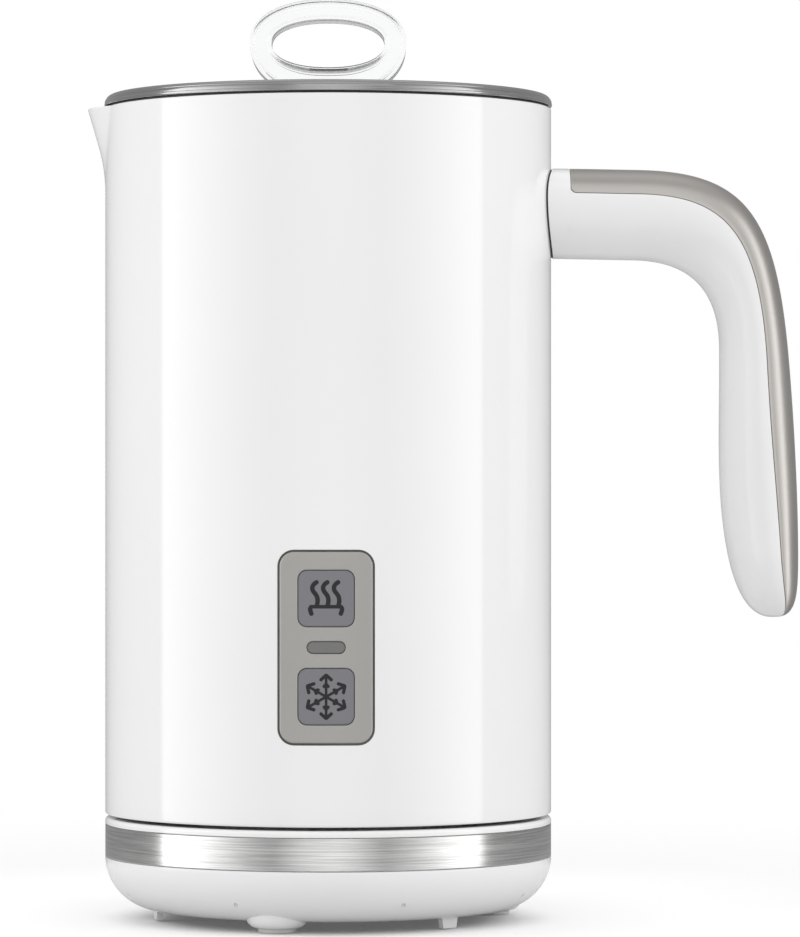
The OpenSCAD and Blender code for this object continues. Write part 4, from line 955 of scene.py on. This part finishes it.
class FROTHER_OT_handle(bpy.types.Operator):
    """Make the handle: its white shell, the satin cover let into it, and the dark seal at its root."""

    bl_idname = "frother.handle"
    bl_label = "Handle"

    def execute(self, context):
        grip = Grip()
        seam = context.scene.frother_sizes.seam / MM
        start_x = span("handle_cover")[0][0]
        per_mm = 1 / (grip.bend_x - grip.root_x)
        start = (start_x - grip.root_x) * per_mm
        # Places along the handle: closer steps just after the cover's start, and ever closer ones towards the tip.
        near = start + per_mm * np.array([0.06, 0.15, 0.3, 0.5, 0.75, 1.0, 1.3])
        tail = 4 - 0.985 * (1 - np.sin(sweep(0, 90, 34))) - 0.003
        run = np.concatenate([np.unique([*ticks(start, (1, 25), (2, 45), (3, 25)), *near]), tail[tail > 3.02]])
        self.shell(grip, run, start, per_mm)
        self.cover(grip, run, start, per_mm, seam)
        self.seal(grip)
        return {"FINISHED"}

    def corner(self, u, start, per_mm, radius=1.3):
        """How far the cover's lower line is raised near its start, so that its corner is a quarter circle."""
        away = np.clip((u - start) / per_mm, 0, radius)
        return radius - np.sqrt(radius ** 2 - (radius - away) ** 2)

    def shell(self, grip, run, start, per_mm):
        """The white shell: full round at the root, and from the cover's start on sunk under the cover, with a small
        round lip along the meeting line. Columns are an angle and an inset, the same for all u or one for each."""
        lip, sunk = 0.2, 1.5
        a = np.radians([0, 30, 60, 90])
        near = start - per_mm * lip * (1 - np.sin(a))
        before = np.linspace(0, near[0], 14)[:-1]
        u = np.concatenate([before, near, [start], run[1:]])
        flag = np.concatenate([0 * before, 0 * near, [1], 1 + 0 * run[1:]])
        sink = np.concatenate([0 * before, lip * (1 - np.cos(a)), [sunk], sunk + 0 * run[1:]])
        size = grip.fade(u)
        low = grip.edge(u, self.corner(u, start, per_mm))
        one = grip.step(u, low, 1.0) * size
        inset = [sink * np.where(flag > 0, part * lip / sunk, 1) for part in (1, 0.3, 0)]
        first = low - lip * one
        cols = [(180 - low + (2 * low - 180) * t, sink) for t in np.linspace(0, 1, 15)]
        cols += [(low, inset[0]), (low - 0.3 * lip * one * flag, inset[1]), (low - lip * one * flag, inset[2])]
        cols += [(first * t, sink * np.where(flag > 0, 0, t)) for t in np.linspace(1, 0, 5)[1:]]
        cols += [(-180 * t, 0 * sink) for t in np.linspace(0, 1, 45)[1:]]
        cols += [(-180 - first * t, sink * np.where(flag > 0, 0, t)) for t in np.linspace(0, 1, 5)[1:]]
        cols += [(-180 - low + 0.3 * lip * one * flag, inset[1]), (-180 - low, inset[0]), (-180 - low, sink)]
        skin = np.stack([grip.point(u, c + 0 * u, i * size) for c, i in cols], 1)
        wall_r = JUG_R + 0.4
        edge_x = np.sqrt(np.maximum(wall_r ** 2 - skin[..., 1] ** 2, 0))
        share = np.clip(u / start, 0, 1)[:, None]
        start_x = grip.root_x + start / per_mm
        skin[..., 0] = np.where(share < 1, edge_x + (start_x - edge_x) * share, skin[..., 0])
        middle = skin[:1] * 0 + [wall_r, 0, HANDLE_TOP - grip.root_h / 2]
        make("handle_body", [np.concatenate([middle, skin, closed_to(skin)])], "jug", "white_moulding",
             ["handle_shell"], crease=40)

    def cover(self, grip, run, start, per_mm, seam):
        """The satin cover: a bowed plate with a rounded edge, let into the shell with a seam round it."""
        edge, thick = 0.2, 1.3
        round_off = np.radians([0, 30, 60, 90])
        first = start + per_mm * (seam + edge * (1 - np.cos(round_off)))
        keep = run[run > first[-1] + 0.02 * per_mm]
        u = np.concatenate([[first[0]], first, keep])
        sink = np.concatenate([[thick], edge * (1 - np.sin(round_off)), 0 * keep])
        size = grip.fade(u)
        low = grip.edge(u, self.corner(u, start + seam * per_mm, per_mm))
        one = grip.step(u, low, 1.0) * size
        low = low + seam * one
        wide, deep = low + edge * one, np.maximum(sink, thick)
        side = [(low, deep), (low, np.maximum(sink, edge)), (low + 0.3 * edge * one, np.maximum(sink, 0.3 * edge))]
        cols = side + [(wide + (180 - 2 * wide) * t, sink) for t in np.linspace(0, 1, 37)]
        cols += [(180 - angle, inset) for angle, inset in side[::-1]]
        cols += [(low + (180 - 2 * low) * t, deep) for t in np.linspace(1, 0, 13)[1:]]
        skin = np.stack([grip.point(u, c, i * size) for c, i in cols], 1)
        make("handle_satin_cover", [np.concatenate([skin, closed_to(skin)])], "jug", "handle_satin",
             ["handle_cover"], crease=40)

    def seal(self, grip):
        """The dark seal at the root: the root's outline, set in a little, between two radii in the jug's wall."""
        a = np.linspace(0, 360, 97)
        ring = grip.point(0 * a, np.where(a > 180, a - 360, a), 0 * a + 0.22)
        y, z = ring[:, 1], ring[:, 2]
        inside, outside = JUG_R - 0.6, JUG_R + 0.5
        rows = [grid(np.sqrt(r ** 2 - y ** 2), y, z) for r in (inside, outside)]
        ends = [rows[0] * 0 + [r, 0, HANDLE_TOP - grip.root_h / 2] for r in (inside, outside)]
        make("handle_root_seal", [np.stack([ends[0], *rows, ends[1]])], "jug", "dark_rubber", ["handle_seal"])


class FROTHER_OT_lid(bpy.types.Operator):
    """Make the lid: its silver disc, dark seal and plug, and the clear loop of its knob."""

    bl_idname = "frother.lid"
    bl_label = "Lid and knob"

    def execute(self, context):
        r, low, top = LID_HIGH[0], LID_LOW[2], LID_HIGH[2]
        make("lid_disc", [lathe(self.disc(r, low, top), 256)], "lid", "lid_metallic", ["lid_cover"])
        plug_r, plug_low = span("lid_plug")[1][0], span("lid_plug")[0][2]
        hollow_r, hollow_top = plug_r - 2, low - 1.5
        cup = rounded([(0, low, 0), (plug_r, low, 0), (plug_r, plug_low, 0.5), (hollow_r, plug_low, 0.5),
                       (hollow_r, hollow_top, 1), (0, hollow_top, 0)], 6, 0.15, closed=False)
        make("lid_plug_cup", [lathe(cup)], "lid", "plug_moulding", ["lid_plug"])
        (_, _, seal_low), (seal_r, _, _) = span("lid_seal")
        inside, neck, lip = plug_r - 0.1, plug_r + 0.5, 39.25
        ring = rounded([
            (inside, seal_low, 0), (neck, seal_low, 0.15), (lip, seal_low + 0.4, 0.12), (neck, seal_low + 1, 0.2),
            (neck, seal_low + 2.6, 0.2), (lip, seal_low + 3, 0.12), (neck, seal_low + 3.6, 0.2), (neck, RIM_Z, 0.2),
            (seal_r, RIM_Z, 0.15), (seal_r, low, 0.15), (inside, low, 0)], 4, 0.05)
        make("lid_soft_seal", [lathe(ring)], "lid", "dark_rubber", ["lid_seal"])
        make("knob_loop", [self.knob(top)], "lid", "knob_clear", ["lid_knob"], crease=60)
        return {"FINISHED"}

    def disc(self, r, low, top):
        """The disc's profile: its side is a quarter of an oval, with two fine turned lines in it; each line draws the
        side in by a bell curve of the height."""
        a = sweep(0, 90, 91)
        foot, oval = 0.35, 1.7
        side = grid(r - oval + oval * np.cos(a), low + foot + (top - low - foot) * np.sin(a))
        for drop in (0.8, 1.65):
            side[:, 0] -= 0.09 * np.exp(-((side[:, 1] - top + drop) / 0.1) ** 2)
        under = bow(r - foot, low + foot, foot, -90, 0, 8)[:-1]
        return np.concatenate([[[0, low], [r - foot - 0.3, low]], under, side, [[r - oval - 0.5, top], [0, top]]])

    def knob(self, lid_top):
        """A closed loop: at each angle round it, a section spans the outer and the inner oval. Both ovals are
        |x|^2.2 + |z|^2.2 = 1, and the outer one is cut off flat where it stands on the lid. The section is a
        rectangle with round corners, and two shallow grooves run along each of its flat sides."""
        length, depth = KNOB_HIGH[0] - KNOB_LOW[0], KNOB_HIGH[1] - KNOB_LOW[1]
        high, rise, hole_l, hole_h, bar, shape = KNOB_HIGH[2] - lid_top, 9.3, 24, 10.1, 4.4, 2.2
        a = np.linspace(0, 2 * np.pi, 193)[:, None]
        x, z = (np.sign(v) * np.abs(v) ** (2 / shape) for v in (np.cos(a), np.sin(a)))
        drop = high - rise
        outer = grid(length / 2 * x, np.maximum(lid_top, lid_top + drop + np.where(z > 0, rise, drop + 0.4) * z))
        inner = grid(hole_l / 2 * x, lid_top + high - bar - hole_h / 2 + hole_h / 2 * z)
        t = sweep(0, 90, 8)
        round_a, round_d = 0.16, 0.8 / depth
        corner = grid(1 - round_a * (1 - np.cos(t)), 1 - round_d * (1 - np.sin(t)))
        flat = np.linspace(1 - round_a, round_a - 1, 67)[1:-1]
        side = np.concatenate([corner, grid(flat, 1), corner[::-1] * [-1, 1]])
        across, deep = np.concatenate([side, -side, side[:1]]).T[:, None]
        deep = deep * (1 - 0.025 * sum(np.exp(-((across - at) / 0.05) ** 2) for at in (-0.62, 0.55)))
        mid = (outer + inner) / 2 + (outer - inner) / 2 * across[..., None]
        return grid(mid[..., 0], depth / 2 * deep, mid[..., 1])


class FROTHER_OT_base(bpy.types.Operator):
    """Make the base: its white bowl with feet and cord hooks, top cover, brushed band, glide ring, collar and pads."""

    bl_idname = "frother.base"
    bl_label = "Base"

    def execute(self, context):
        gap = 0.15
        band_z = BAND_LOW[2] - gap
        self.bowl(band_z)
        self.stands()
        skirt, top, band_top, hub = JUG_R - 0.65, BASE_TOP, BAND_HIGH[2] + gap, 17.05
        slot_low, slot_in, slot_out = 20.6, 29.75, 36.25
        cover = rounded([
            (hub, 19, 0), (skirt - 2, 19, 0), (skirt - 2, band_z, 0), (skirt, band_z, 0), (skirt, band_top, 0),
            (JUG_R, band_top, 0.12), (JUG_R, top, 0.8), (slot_out, top, 0.2), (slot_out, slot_low, 0),
            (slot_in, slot_low, 0), (slot_in, top, 0.2), (hub, top, 0.4)], 8)
        make("base_upper", [lathe(cover, 256)], "base", "white_moulding", ["base_top_cover"])
        band_in = 46.9
        band = rounded([(band_in, BAND_LOW[2], 0), (JUG_R, BAND_LOW[2], 0.1), (JUG_R, BAND_HIGH[2], 0.1),
                        (band_in, BAND_HIGH[2], 0)], 4, 0.06)
        make("steel_band", [lathe(band, 320)], "base", "trim_steel", ["base_trim_band"])
        glide_in, glide_out = slot_in + 0.25, slot_out - 0.25
        glide = rounded([(glide_in, slot_low, 0), (glide_out, slot_low, 0), (glide_out, JUG_Z, 0.4),
                         (glide_in, JUG_Z, 0.4)], 5)
        make("turning_ring", [lathe(glide)], "glide", "glide", ["glide_ring"])
        # Radii of the collar's middle pit, its ring-shaped groove, its wall and its flange.
        t, pit, groove_in, groove_out, wall, flange = COLLAR_TOP, 2.8, 8.6, 10.4, 16.8, 20.5
        collar = rounded([
            (0, 15.6, 0), (pit, 15.6, 0), (pit, t, 0.6), (groove_in, t, 0.5), (groove_in, 16, 0),
            (groove_out, 16, 0), (groove_out, t, 0.5), (wall, t, 1.2), (wall, 19, 0), (flange, 19, 0),
            (flange, 16.6, 0), (wall, 16.6, 0), (wall, 14.5, 0), (0, 14.5, 0)], 6, 0.1, closed=False)
        make("connector_collar", [lathe(collar)], "base", "base_inner_moulding", ["base_socket"])
        return {"FINISHED"}

    def bowl(self, band_z):
        """The lower bowl: a quarter circle up to the band, and the cord's groove beneath. A bar at the back, kept
        inside the bowl's wall, closes round the notch in which the cord leaves; a hole leads it through the spool."""
        bowl_r = band_z - UNDER_Z
        bowl_x = JUG_R - bowl_r
        floor = UNDER_Z + BASE_WALL
        spool_in, groove_out, roof = SPOOL_R - BASE_WALL, GROOVE_R + BASE_WALL, GROOVE_TOP + BASE_WALL
        profile = np.concatenate([
            rounded([(0, UNDER_Z, 0), (SPOOL_R, UNDER_Z, 0.8), (SPOOL_R, GROOVE_TOP, 0.6), (GROOVE_R, GROOVE_TOP, 0.6),
                     (GROOVE_R, UNDER_Z, 0.8), (bowl_x, UNDER_Z, 0)], 6, 0.1, closed=False),
            bow(bowl_x, band_z, bowl_r, -90, 0, 33)[1:], bow(bowl_x, band_z, bowl_r - BASE_WALL, 0, -84, 17),
            np.array([[groove_out + 0.2, floor + 0.1], [groove_out, roof], [spool_in, roof], [spool_in, floor],
                      [0, floor]])])
        shell = solid("base_bowl", [lathe(profile, 256)])
        edge = bow(bowl_x, band_z, bowl_r - 0.5, -90, 0, 33)[1:]
        side = GROOVE_R + 0.5
        limit = np.concatenate([edge, [[side, band_z], [side, edge[0, 1]]], edge[:1]])
        sleeve_r, notch_r, hole_r, notch_in, notch_out, below = 5.6, 3.6, 3.1, GROOVE_R - 2, 54, -1
        sleeve = solid("sleeve", [self.channel(sleeve_r, notch_in, notch_out, below)])
        combine(sleeve, solid("limit", [lathe(limit, 256)]), "INTERSECT")
        combine(shell, sleeve, "UNION")
        combine(shell, solid("way_out", [self.channel(notch_r, notch_in, notch_out, below)]), "DIFFERENCE")
        combine(shell, solid("hole", [self.channel(hole_r, SPOOL_R - 3, SPOOL_R + 1)]), "DIFFERENCE")
        dress(shell, "base", "white_moulding", ["base_lower_shell"], "bowl")

    def stands(self):
        """Three feet with their rubber pads, and three cord hooks between them."""
        edge_x, _, pad_top = span("foot_pads")[1]
        ring = (edge_x - PAD_R) / math.cos(math.radians(FOOT_TURN))
        foot_r, flat_r, top = 6.5, PAD_R + 0.1, 12.4
        boss = rounded([(0, pad_top, 0), (flat_r, pad_top, 0), (flat_r, 1, 0.15), (foot_r, 1, 2.3), (foot_r, top, 0),
                        (0, top, 0)], 8, 0.1, closed=False)
        pad = rounded([(0, 0, 0), (PAD_R, 0, 0.5), (PAD_R, pad_top - 0.02, 0), (0, pad_top - 0.02, 0)], 6, 0.1,
                      closed=False)
        feet, pads = [], []
        for k in range(3):
            a = math.radians(FOOT_TURN + 120 * k)
            at = [ring * math.cos(a), ring * math.sin(a), 0]
            feet += [lathe(boss, 64) + at, self.hook(math.radians(HOOK_TURN + 120 * k))]
            pads.append(lathe(pad, 64) + at)
        make("feet_and_hooks", feet, "base", "white_moulding")
        make("rubber_pads", pads, "base", "foot_rubber", ["foot_pads"])

    def channel(self, r, start, end, low=None):
        """A bar towards the back at the height of the cord's hole: round, of radius r, or with a low edge given, an
        upright slot under a half-round top."""
        edge = bow(0, CORD_Z, r, 0, 360 if low is None else 180, 49)
        if low is not None:
            edge = np.concatenate([[[r, low]], edge, [[-r, low], [r, low]]])
        middle = edge * 0 + [0, CORD_Z]
        return np.stack([grid(p[:, 0], y, p[:, 1]) for p, y in (
            (middle, start), (edge, start), (edge, end), (middle, end))])

    def hook(self, a):
        """A small blade, narrower at its foot, standing across the direction a."""
        out, across = np.array([math.cos(a), math.sin(a), 0]), np.array([-math.sin(a), math.cos(a), 0])
        corner = np.array([[-1, -1], [1, -1], [1, 1], [-1, 1], [-1, -1]])
        return np.stack([
            (HOOK_RING + corner[:, :1] * thick) * out + corner[:, 1:] * half * across + [0, 0, z]
            for half, thick, z in ((0, 0, 0.2), (1.7, 0.5, 0.2), (1.85, 0.65, 0.35), (2.45, 0.65, 3.8), (0, 0, 3.8))])


class FROTHER_OT_pot(bpy.types.Operator):
    """Make the pot inside the jug, with its spout channel, and the post that the whisk turns on."""

    bl_idname = "frother.pot"
    bl_label = "Pot"

    def execute(self, context):
        # The steps are closer at the spout.
        left, right, low = 140, 220, 143
        angle = np.radians(ticks(-130, (left, 135), (right, 100), (230, 5)))
        r, corner, wall, floor_wall, lip_r, flange = 39.5, 8, 0.8, 1.2, 0.5, 45.1
        # How far the pot's inside and outside lie within the spout's cone, and how far the crease is filled.
        inner_gap, outer_gap, fill = 3.3, 2.5, 1.2

        def side(z, radius, off, inset):
            """One side of the wall: its heights and radii, with the spout's channel set in."""
            z = z[:, None]
            reach = spout_reach(angle, z, inset) - off
            return around(soft_max(np.array(radius, float)[:, None], reach, fill), angle, z)

        def ring(least, z, off=0):
            """A level loop that keeps a least radius and follows the spout."""
            return around(np.maximum(least, spout_reach(angle, z, outer_gap) - off), angle, z)[None]

        bend, edge = sweep(-90, 0, 13), sweep(0, 90, 6)
        in_z = np.concatenate([[FLOOR_Z, FLOOR_Z], FLOOR_Z + corner + corner * np.sin(bend),
                               np.linspace(FLOOR_Z + corner + 1, low - 1, 20), np.linspace(low, RIM_Z - lip_r, 34)])
        in_r = np.concatenate([[0, 16], r - corner + corner * np.cos(bend), np.full(54, r)])
        inner = side(in_z, in_r, 0, inner_gap)
        base = np.hypot(inner[-1, :, 0], inner[-1, :, 1])
        lip = around(base + (lip_r - lip_r * np.cos(edge))[:, None], angle,
                     (RIM_Z - lip_r + lip_r * np.sin(edge))[:, None])
        under = RIM_Z - wall
        out_z = np.concatenate([np.linspace(under - 1, low, 12), [100, 74]])
        outer = side(out_z, np.full(len(out_z), r + wall), 0.2, outer_gap)
        floor = side(np.full(2, FLOOR_Z - floor_wall), [33, 0], 0, inner_gap)
        rows = [inner, lip, ring(flange, RIM_Z), ring(flange, under), ring(r + wall, under, 0.2), outer, floor]
        make("coated_pot", [np.concatenate(rows)], "jug", "pot_coating", ["inner_pot"])
        foot_r, pin_r, point_r = 6.5, 2.5, 1.5
        foot, foot_top, neck, point = (FLOOR_Z + rise for rise in (-0.05, 0.8, 9, 10))
        post = rounded([(0, foot, 0), (foot_r, foot, 0), (foot_r, foot_top, 0.5), (pin_r, foot_top, 0.4),
                        (pin_r, neck, 0), (point_r, point, 0.3), (0, point, 0)], 6, 0.1, closed=False)
        make("whisk_pin", [lathe(post, 96)], "jug", "motor_steel", ["whisk_post"])
        return {"FINISHED"}


class FROTHER_OT_whisk(bpy.types.Operator):
    """Make the whisk: its dark carrier, and the spring bent into a ring round it."""

    bl_idname = "frother.whisk"
    bl_label = "Whisk"

    def execute(self, context):
        low, top = (corner[2] for corner in span("whisk_carrier"))
        coil_z = middle_z("whisk_coil")
        disc_r, hub, cap_r, bore = 13.5, 8.05, 4.7, 2.6
        disc_top, bore_top = low + 4.6, FLOOR_Z + 10.6
        carrier = rounded([
            (bore, low, 0.2), (disc_r, low, 0.8), (disc_r, disc_top, 0.6), (hub, disc_top, 0.3),
            (hub, coil_z + 1, 0.4), (cap_r, coil_z + 2.2, 0.5), (cap_r, top, 1.5), (0, top, 0), (0, bore_top, 0),
            (bore, bore_top, 0)], 6, 0.1)
        make("whisk_disc", [lathe(carrier, 128)], "whisk", "carrier_moulding", ["whisk_carrier"])
        ring_r, coil_r, wire_r, turns = 11.5, 2.8, 0.45, context.scene.frother_sizes.coil_turns
        make("whisk_spring", [self.spring(ring_r, coil_r, wire_r, turns, coil_z)], "coil", "coil_steel",
             ["whisk_coil"], crease=60)
        return {"FINISHED"}

    def spring(self, ring_r, coil_r, wire_r, turns, z, steps=24, sides=10):
        """A wire wound round a circle: its middle is at ring_r + coil_r cos(b) from the axis and coil_r sin(b) high,
        where b turns many times while the direction a turns once. A circle of wire_r stands square to it."""
        a = np.linspace(0, 2 * np.pi, turns * steps + 1)
        b = a * turns

        def middle(a, b):
            """The wire's middle."""
            return around(ring_r + coil_r * np.cos(b), a, z + coil_r * np.sin(b))

        d = 0.001
        along = middle(a + d, b + d * turns) - middle(a - d, b - d * turns)
        along /= np.linalg.norm(along, axis=1)[:, None]
        side = np.cross(along, around(np.cos(b), a, np.sin(b)))
        side /= np.linalg.norm(side, axis=1)[:, None]
        up = np.cross(side, along)
        s = np.linspace(0, 2 * np.pi, sides + 1)[None, :, None]
        return middle(a, b)[:, None] + wire_r * (np.cos(s) * up[:, None] + np.sin(s) * side[:, None])


class FROTHER_OT_studio(bpy.types.Operator):
    """Set up the pale floor, the soft light and the camera."""

    bl_idname = "frother.studio"
    bl_label = "Studio"

    def execute(self, context):
        self.floor()
        self.world(context.scene)
        self.lamps()
        self.camera(context.scene)
        context.scene.view_settings.view_transform = "Standard"
        return {"FINISHED"}

    def boxes(self, b, x, y):
        """The studio in reflections, as a ramp over the turn from the front: atan2(x, -y) as a share of a full turn.
        It is bright in front, has a tall soft box on each side, and is dim between and behind them. A ramp holds
        levels up to 1, so that they are divided by the top level and multiplied by it again."""
        turn = x.math("ARCTAN2", x, y * -1) / (2 * math.pi) + 0.5
        top = 4.0
        stops = [(0.5 + at / 360, level / top) for at, level in STUDIO_TURN]
        studio = b.add("ShaderNodeValToRGB", {"stops": stops}, {0: turn})
        return b.add("ShaderNodeVectorMath", {"operation": "SCALE"}, {0: studio, "Scale": top})

    def floor(self):
        """A pale matt floor that keeps the shadow, with a painted soft shadow round the object: to the camera its
        colour is painted darker from 5 cm out from the jug's axis, darkest past 17 cm. Further out it is plain white to
        the camera and lets reflections through to the studio round it."""
        mesh = bpy.data.meshes.new("floor")
        half = 4
        mesh.from_pydata([(-half, -half, 0), (half, -half, 0), (half, half, 0), (-half, half, 0)], [], [(0, 1, 2, 3)])
        floor = put("floor", mesh)
        made, b = new_finish("pale_floor")
        x, y, _ = b.about_axis()
        away = (x * x + y * y) ** 0.5
        camera = b.add("ShaderNodeLightPath", out="Is Camera Ray")
        # Painted shadow: to the camera the floor's colour falls from 0.91 near the axis to 0.79 past 17 cm, a soft
        # shadow ring painted round the object.
        tone = b.mix(camera, grey(0.6), b.mix(away.between(0.05, 0.17), grey(0.91), grey(0.79)))
        paint = b.add("ShaderNodeBsdfPrincipled", {}, {
            "Base Color": tone, "Roughness": 0.9, "Specular IOR Level": 0.0, "Emission Color": grey(1),
            "Emission Strength": 0.05})
        white = b.add("ShaderNodeEmission", {}, {"Color": grey(1), "Strength": 1.0})
        seen = camera.math("MAXIMUM", camera, camera.of("Is Transmission Ray"))
        open_floor = b.add("ShaderNodeBsdfTransparent")
        both = b.add("ShaderNodeMixShader", {}, {0: away.between(0.16, 0.34) * seen, 1: paint, 2: white})
        both = b.add("ShaderNodeMixShader", {}, {
            0: away.between(0.1, 0.17) * camera.of("Is Glossy Ray"), 1: both, 2: open_floor})
        b.add("ShaderNodeOutputMaterial", {}, {"Surface": both})
        mesh.materials.append(made)

    def world(self, scene):
        """White to the camera and through clear pieces, a soft even light on everything, and the studio in
        reflections."""
        scene.world = bpy.data.worlds.new("studio")
        scene.world.use_nodes = True
        b = Board(scene.world.node_tree)
        x, y, z = b.parts(b.add("ShaderNodeTexCoord", out="Generated"))
        path = b.add("ShaderNodeLightPath", out="Is Camera Ray")
        glossy, clear = path.of("Is Glossy Ray"), path.of("Is Transmission Ray")
        mirrored = b.mix(z.between(0.45, 0.85), self.boxes(b, x, y), grey(0.55))
        lit = b.mix(glossy, grey(1.02), mirrored)
        colour = b.mix(path.math("MAXIMUM", path, clear), lit, grey(1))
        back = b.add("ShaderNodeBackground", {}, {"Color": colour, "Strength": 1.0})
        b.add("ShaderNodeOutputWorld", {}, {"Surface": back})

    def lamps(self):
        """Large soft lamps: one on each side, one above in front and one above behind."""
        for name, azimuth, height, away, size, power in (
                ("side_left", -80, 0.3, 0.9, (0.5, 0.9), 2.0),
                ("side_right", 80, 0.3, 0.9, (0.5, 0.9), 1.9),
                ("top_front", 10, 1.3, 0.9, (1.1, 0.8), 1.2),
                ("top_back", 180, 1.5, 0.6, (1.2, 0.8), 0.8)):
            data = bpy.data.lights.new(name, "AREA")
            data.shape = "RECTANGLE"
            data.size, data.size_y = size
            data.energy = power
            lamp = put(name, data)
            lamp.visible_glossy = height > 1
            a = math.radians(azimuth)
            at = np.array([AXIS_X * MM + away * math.sin(a), -away * math.cos(a), height])
            lamp.location = at
            aim = np.array([AXIS_X * MM, 0, 0.1]) - at
            lamp.rotation_euler = math.atan2(math.hypot(aim[0], aim[1]), -aim[2]), 0, math.atan2(-aim[0], aim[1])

    def camera(self, scene):
        """A level view from the front, from a little right of the jug's axis, framed by a small shift."""
        data = bpy.data.cameras.new("front")
        data.sensor_width = 36
        data.lens = 187.3
        data.shift_x, data.shift_y = 0.028, 0.0109
        data.clip_end = 30
        camera = put("front", data)
        camera.location = ((AXIS_X + 9.7) * MM, -1.04, 0.0936)
        camera.rotation_euler = (math.radians(90), 0, 0)
        scene.camera = camera


class FROTHER_PT_tools(bpy.types.Panel):
    """Lists the frother's sizes, colours and tools."""

    bl_idname = "FROTHER_PT_tools"
    bl_label = "Milk frother"
    bl_space_type = "VIEW_3D"
    bl_region_type = "UI"
    bl_category = "Frother"

    def draw(self, context):
        for group in (context.scene.frother_sizes, context.scene.frother_colours):
            box = self.layout.box()
            for key in group.__annotations__:
                box.prop(group, key)
        for tool in TOOLS:
            self.layout.operator(tool.bl_idname)


TOOLS = (
    FROTHER_OT_finishes, FROTHER_OT_jug, FROTHER_OT_panel, FROTHER_OT_handle, FROTHER_OT_lid,
    FROTHER_OT_base, FROTHER_OT_pot, FROTHER_OT_whisk, FROTHER_OT_studio,
)
GROUPS = (FrotherSizes, FrotherColours)


def register():
    """Adds the tools and their settings to Blender."""
    for cls in (*GROUPS, *TOOLS, FROTHER_PT_tools):
        bpy.utils.register_class(cls)
    bpy.types.Scene.frother_sizes = bpy.props.PointerProperty(type=FrotherSizes)
    bpy.types.Scene.frother_colours = bpy.props.PointerProperty(type=FrotherColours)


def unregister():
    """Takes them away again."""
    del bpy.types.Scene.frother_colours
    del bpy.types.Scene.frother_sizes
    for cls in reversed((*GROUPS, *TOOLS, FROTHER_PT_tools)):
        bpy.utils.unregister_class(cls)


def main():
    """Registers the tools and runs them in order."""
    register()
    for tool in TOOLS:
        family, name = tool.bl_idname.split(".")
        getattr(getattr(bpy.ops, family), name)()


if __name__ == "__main__":
    main()
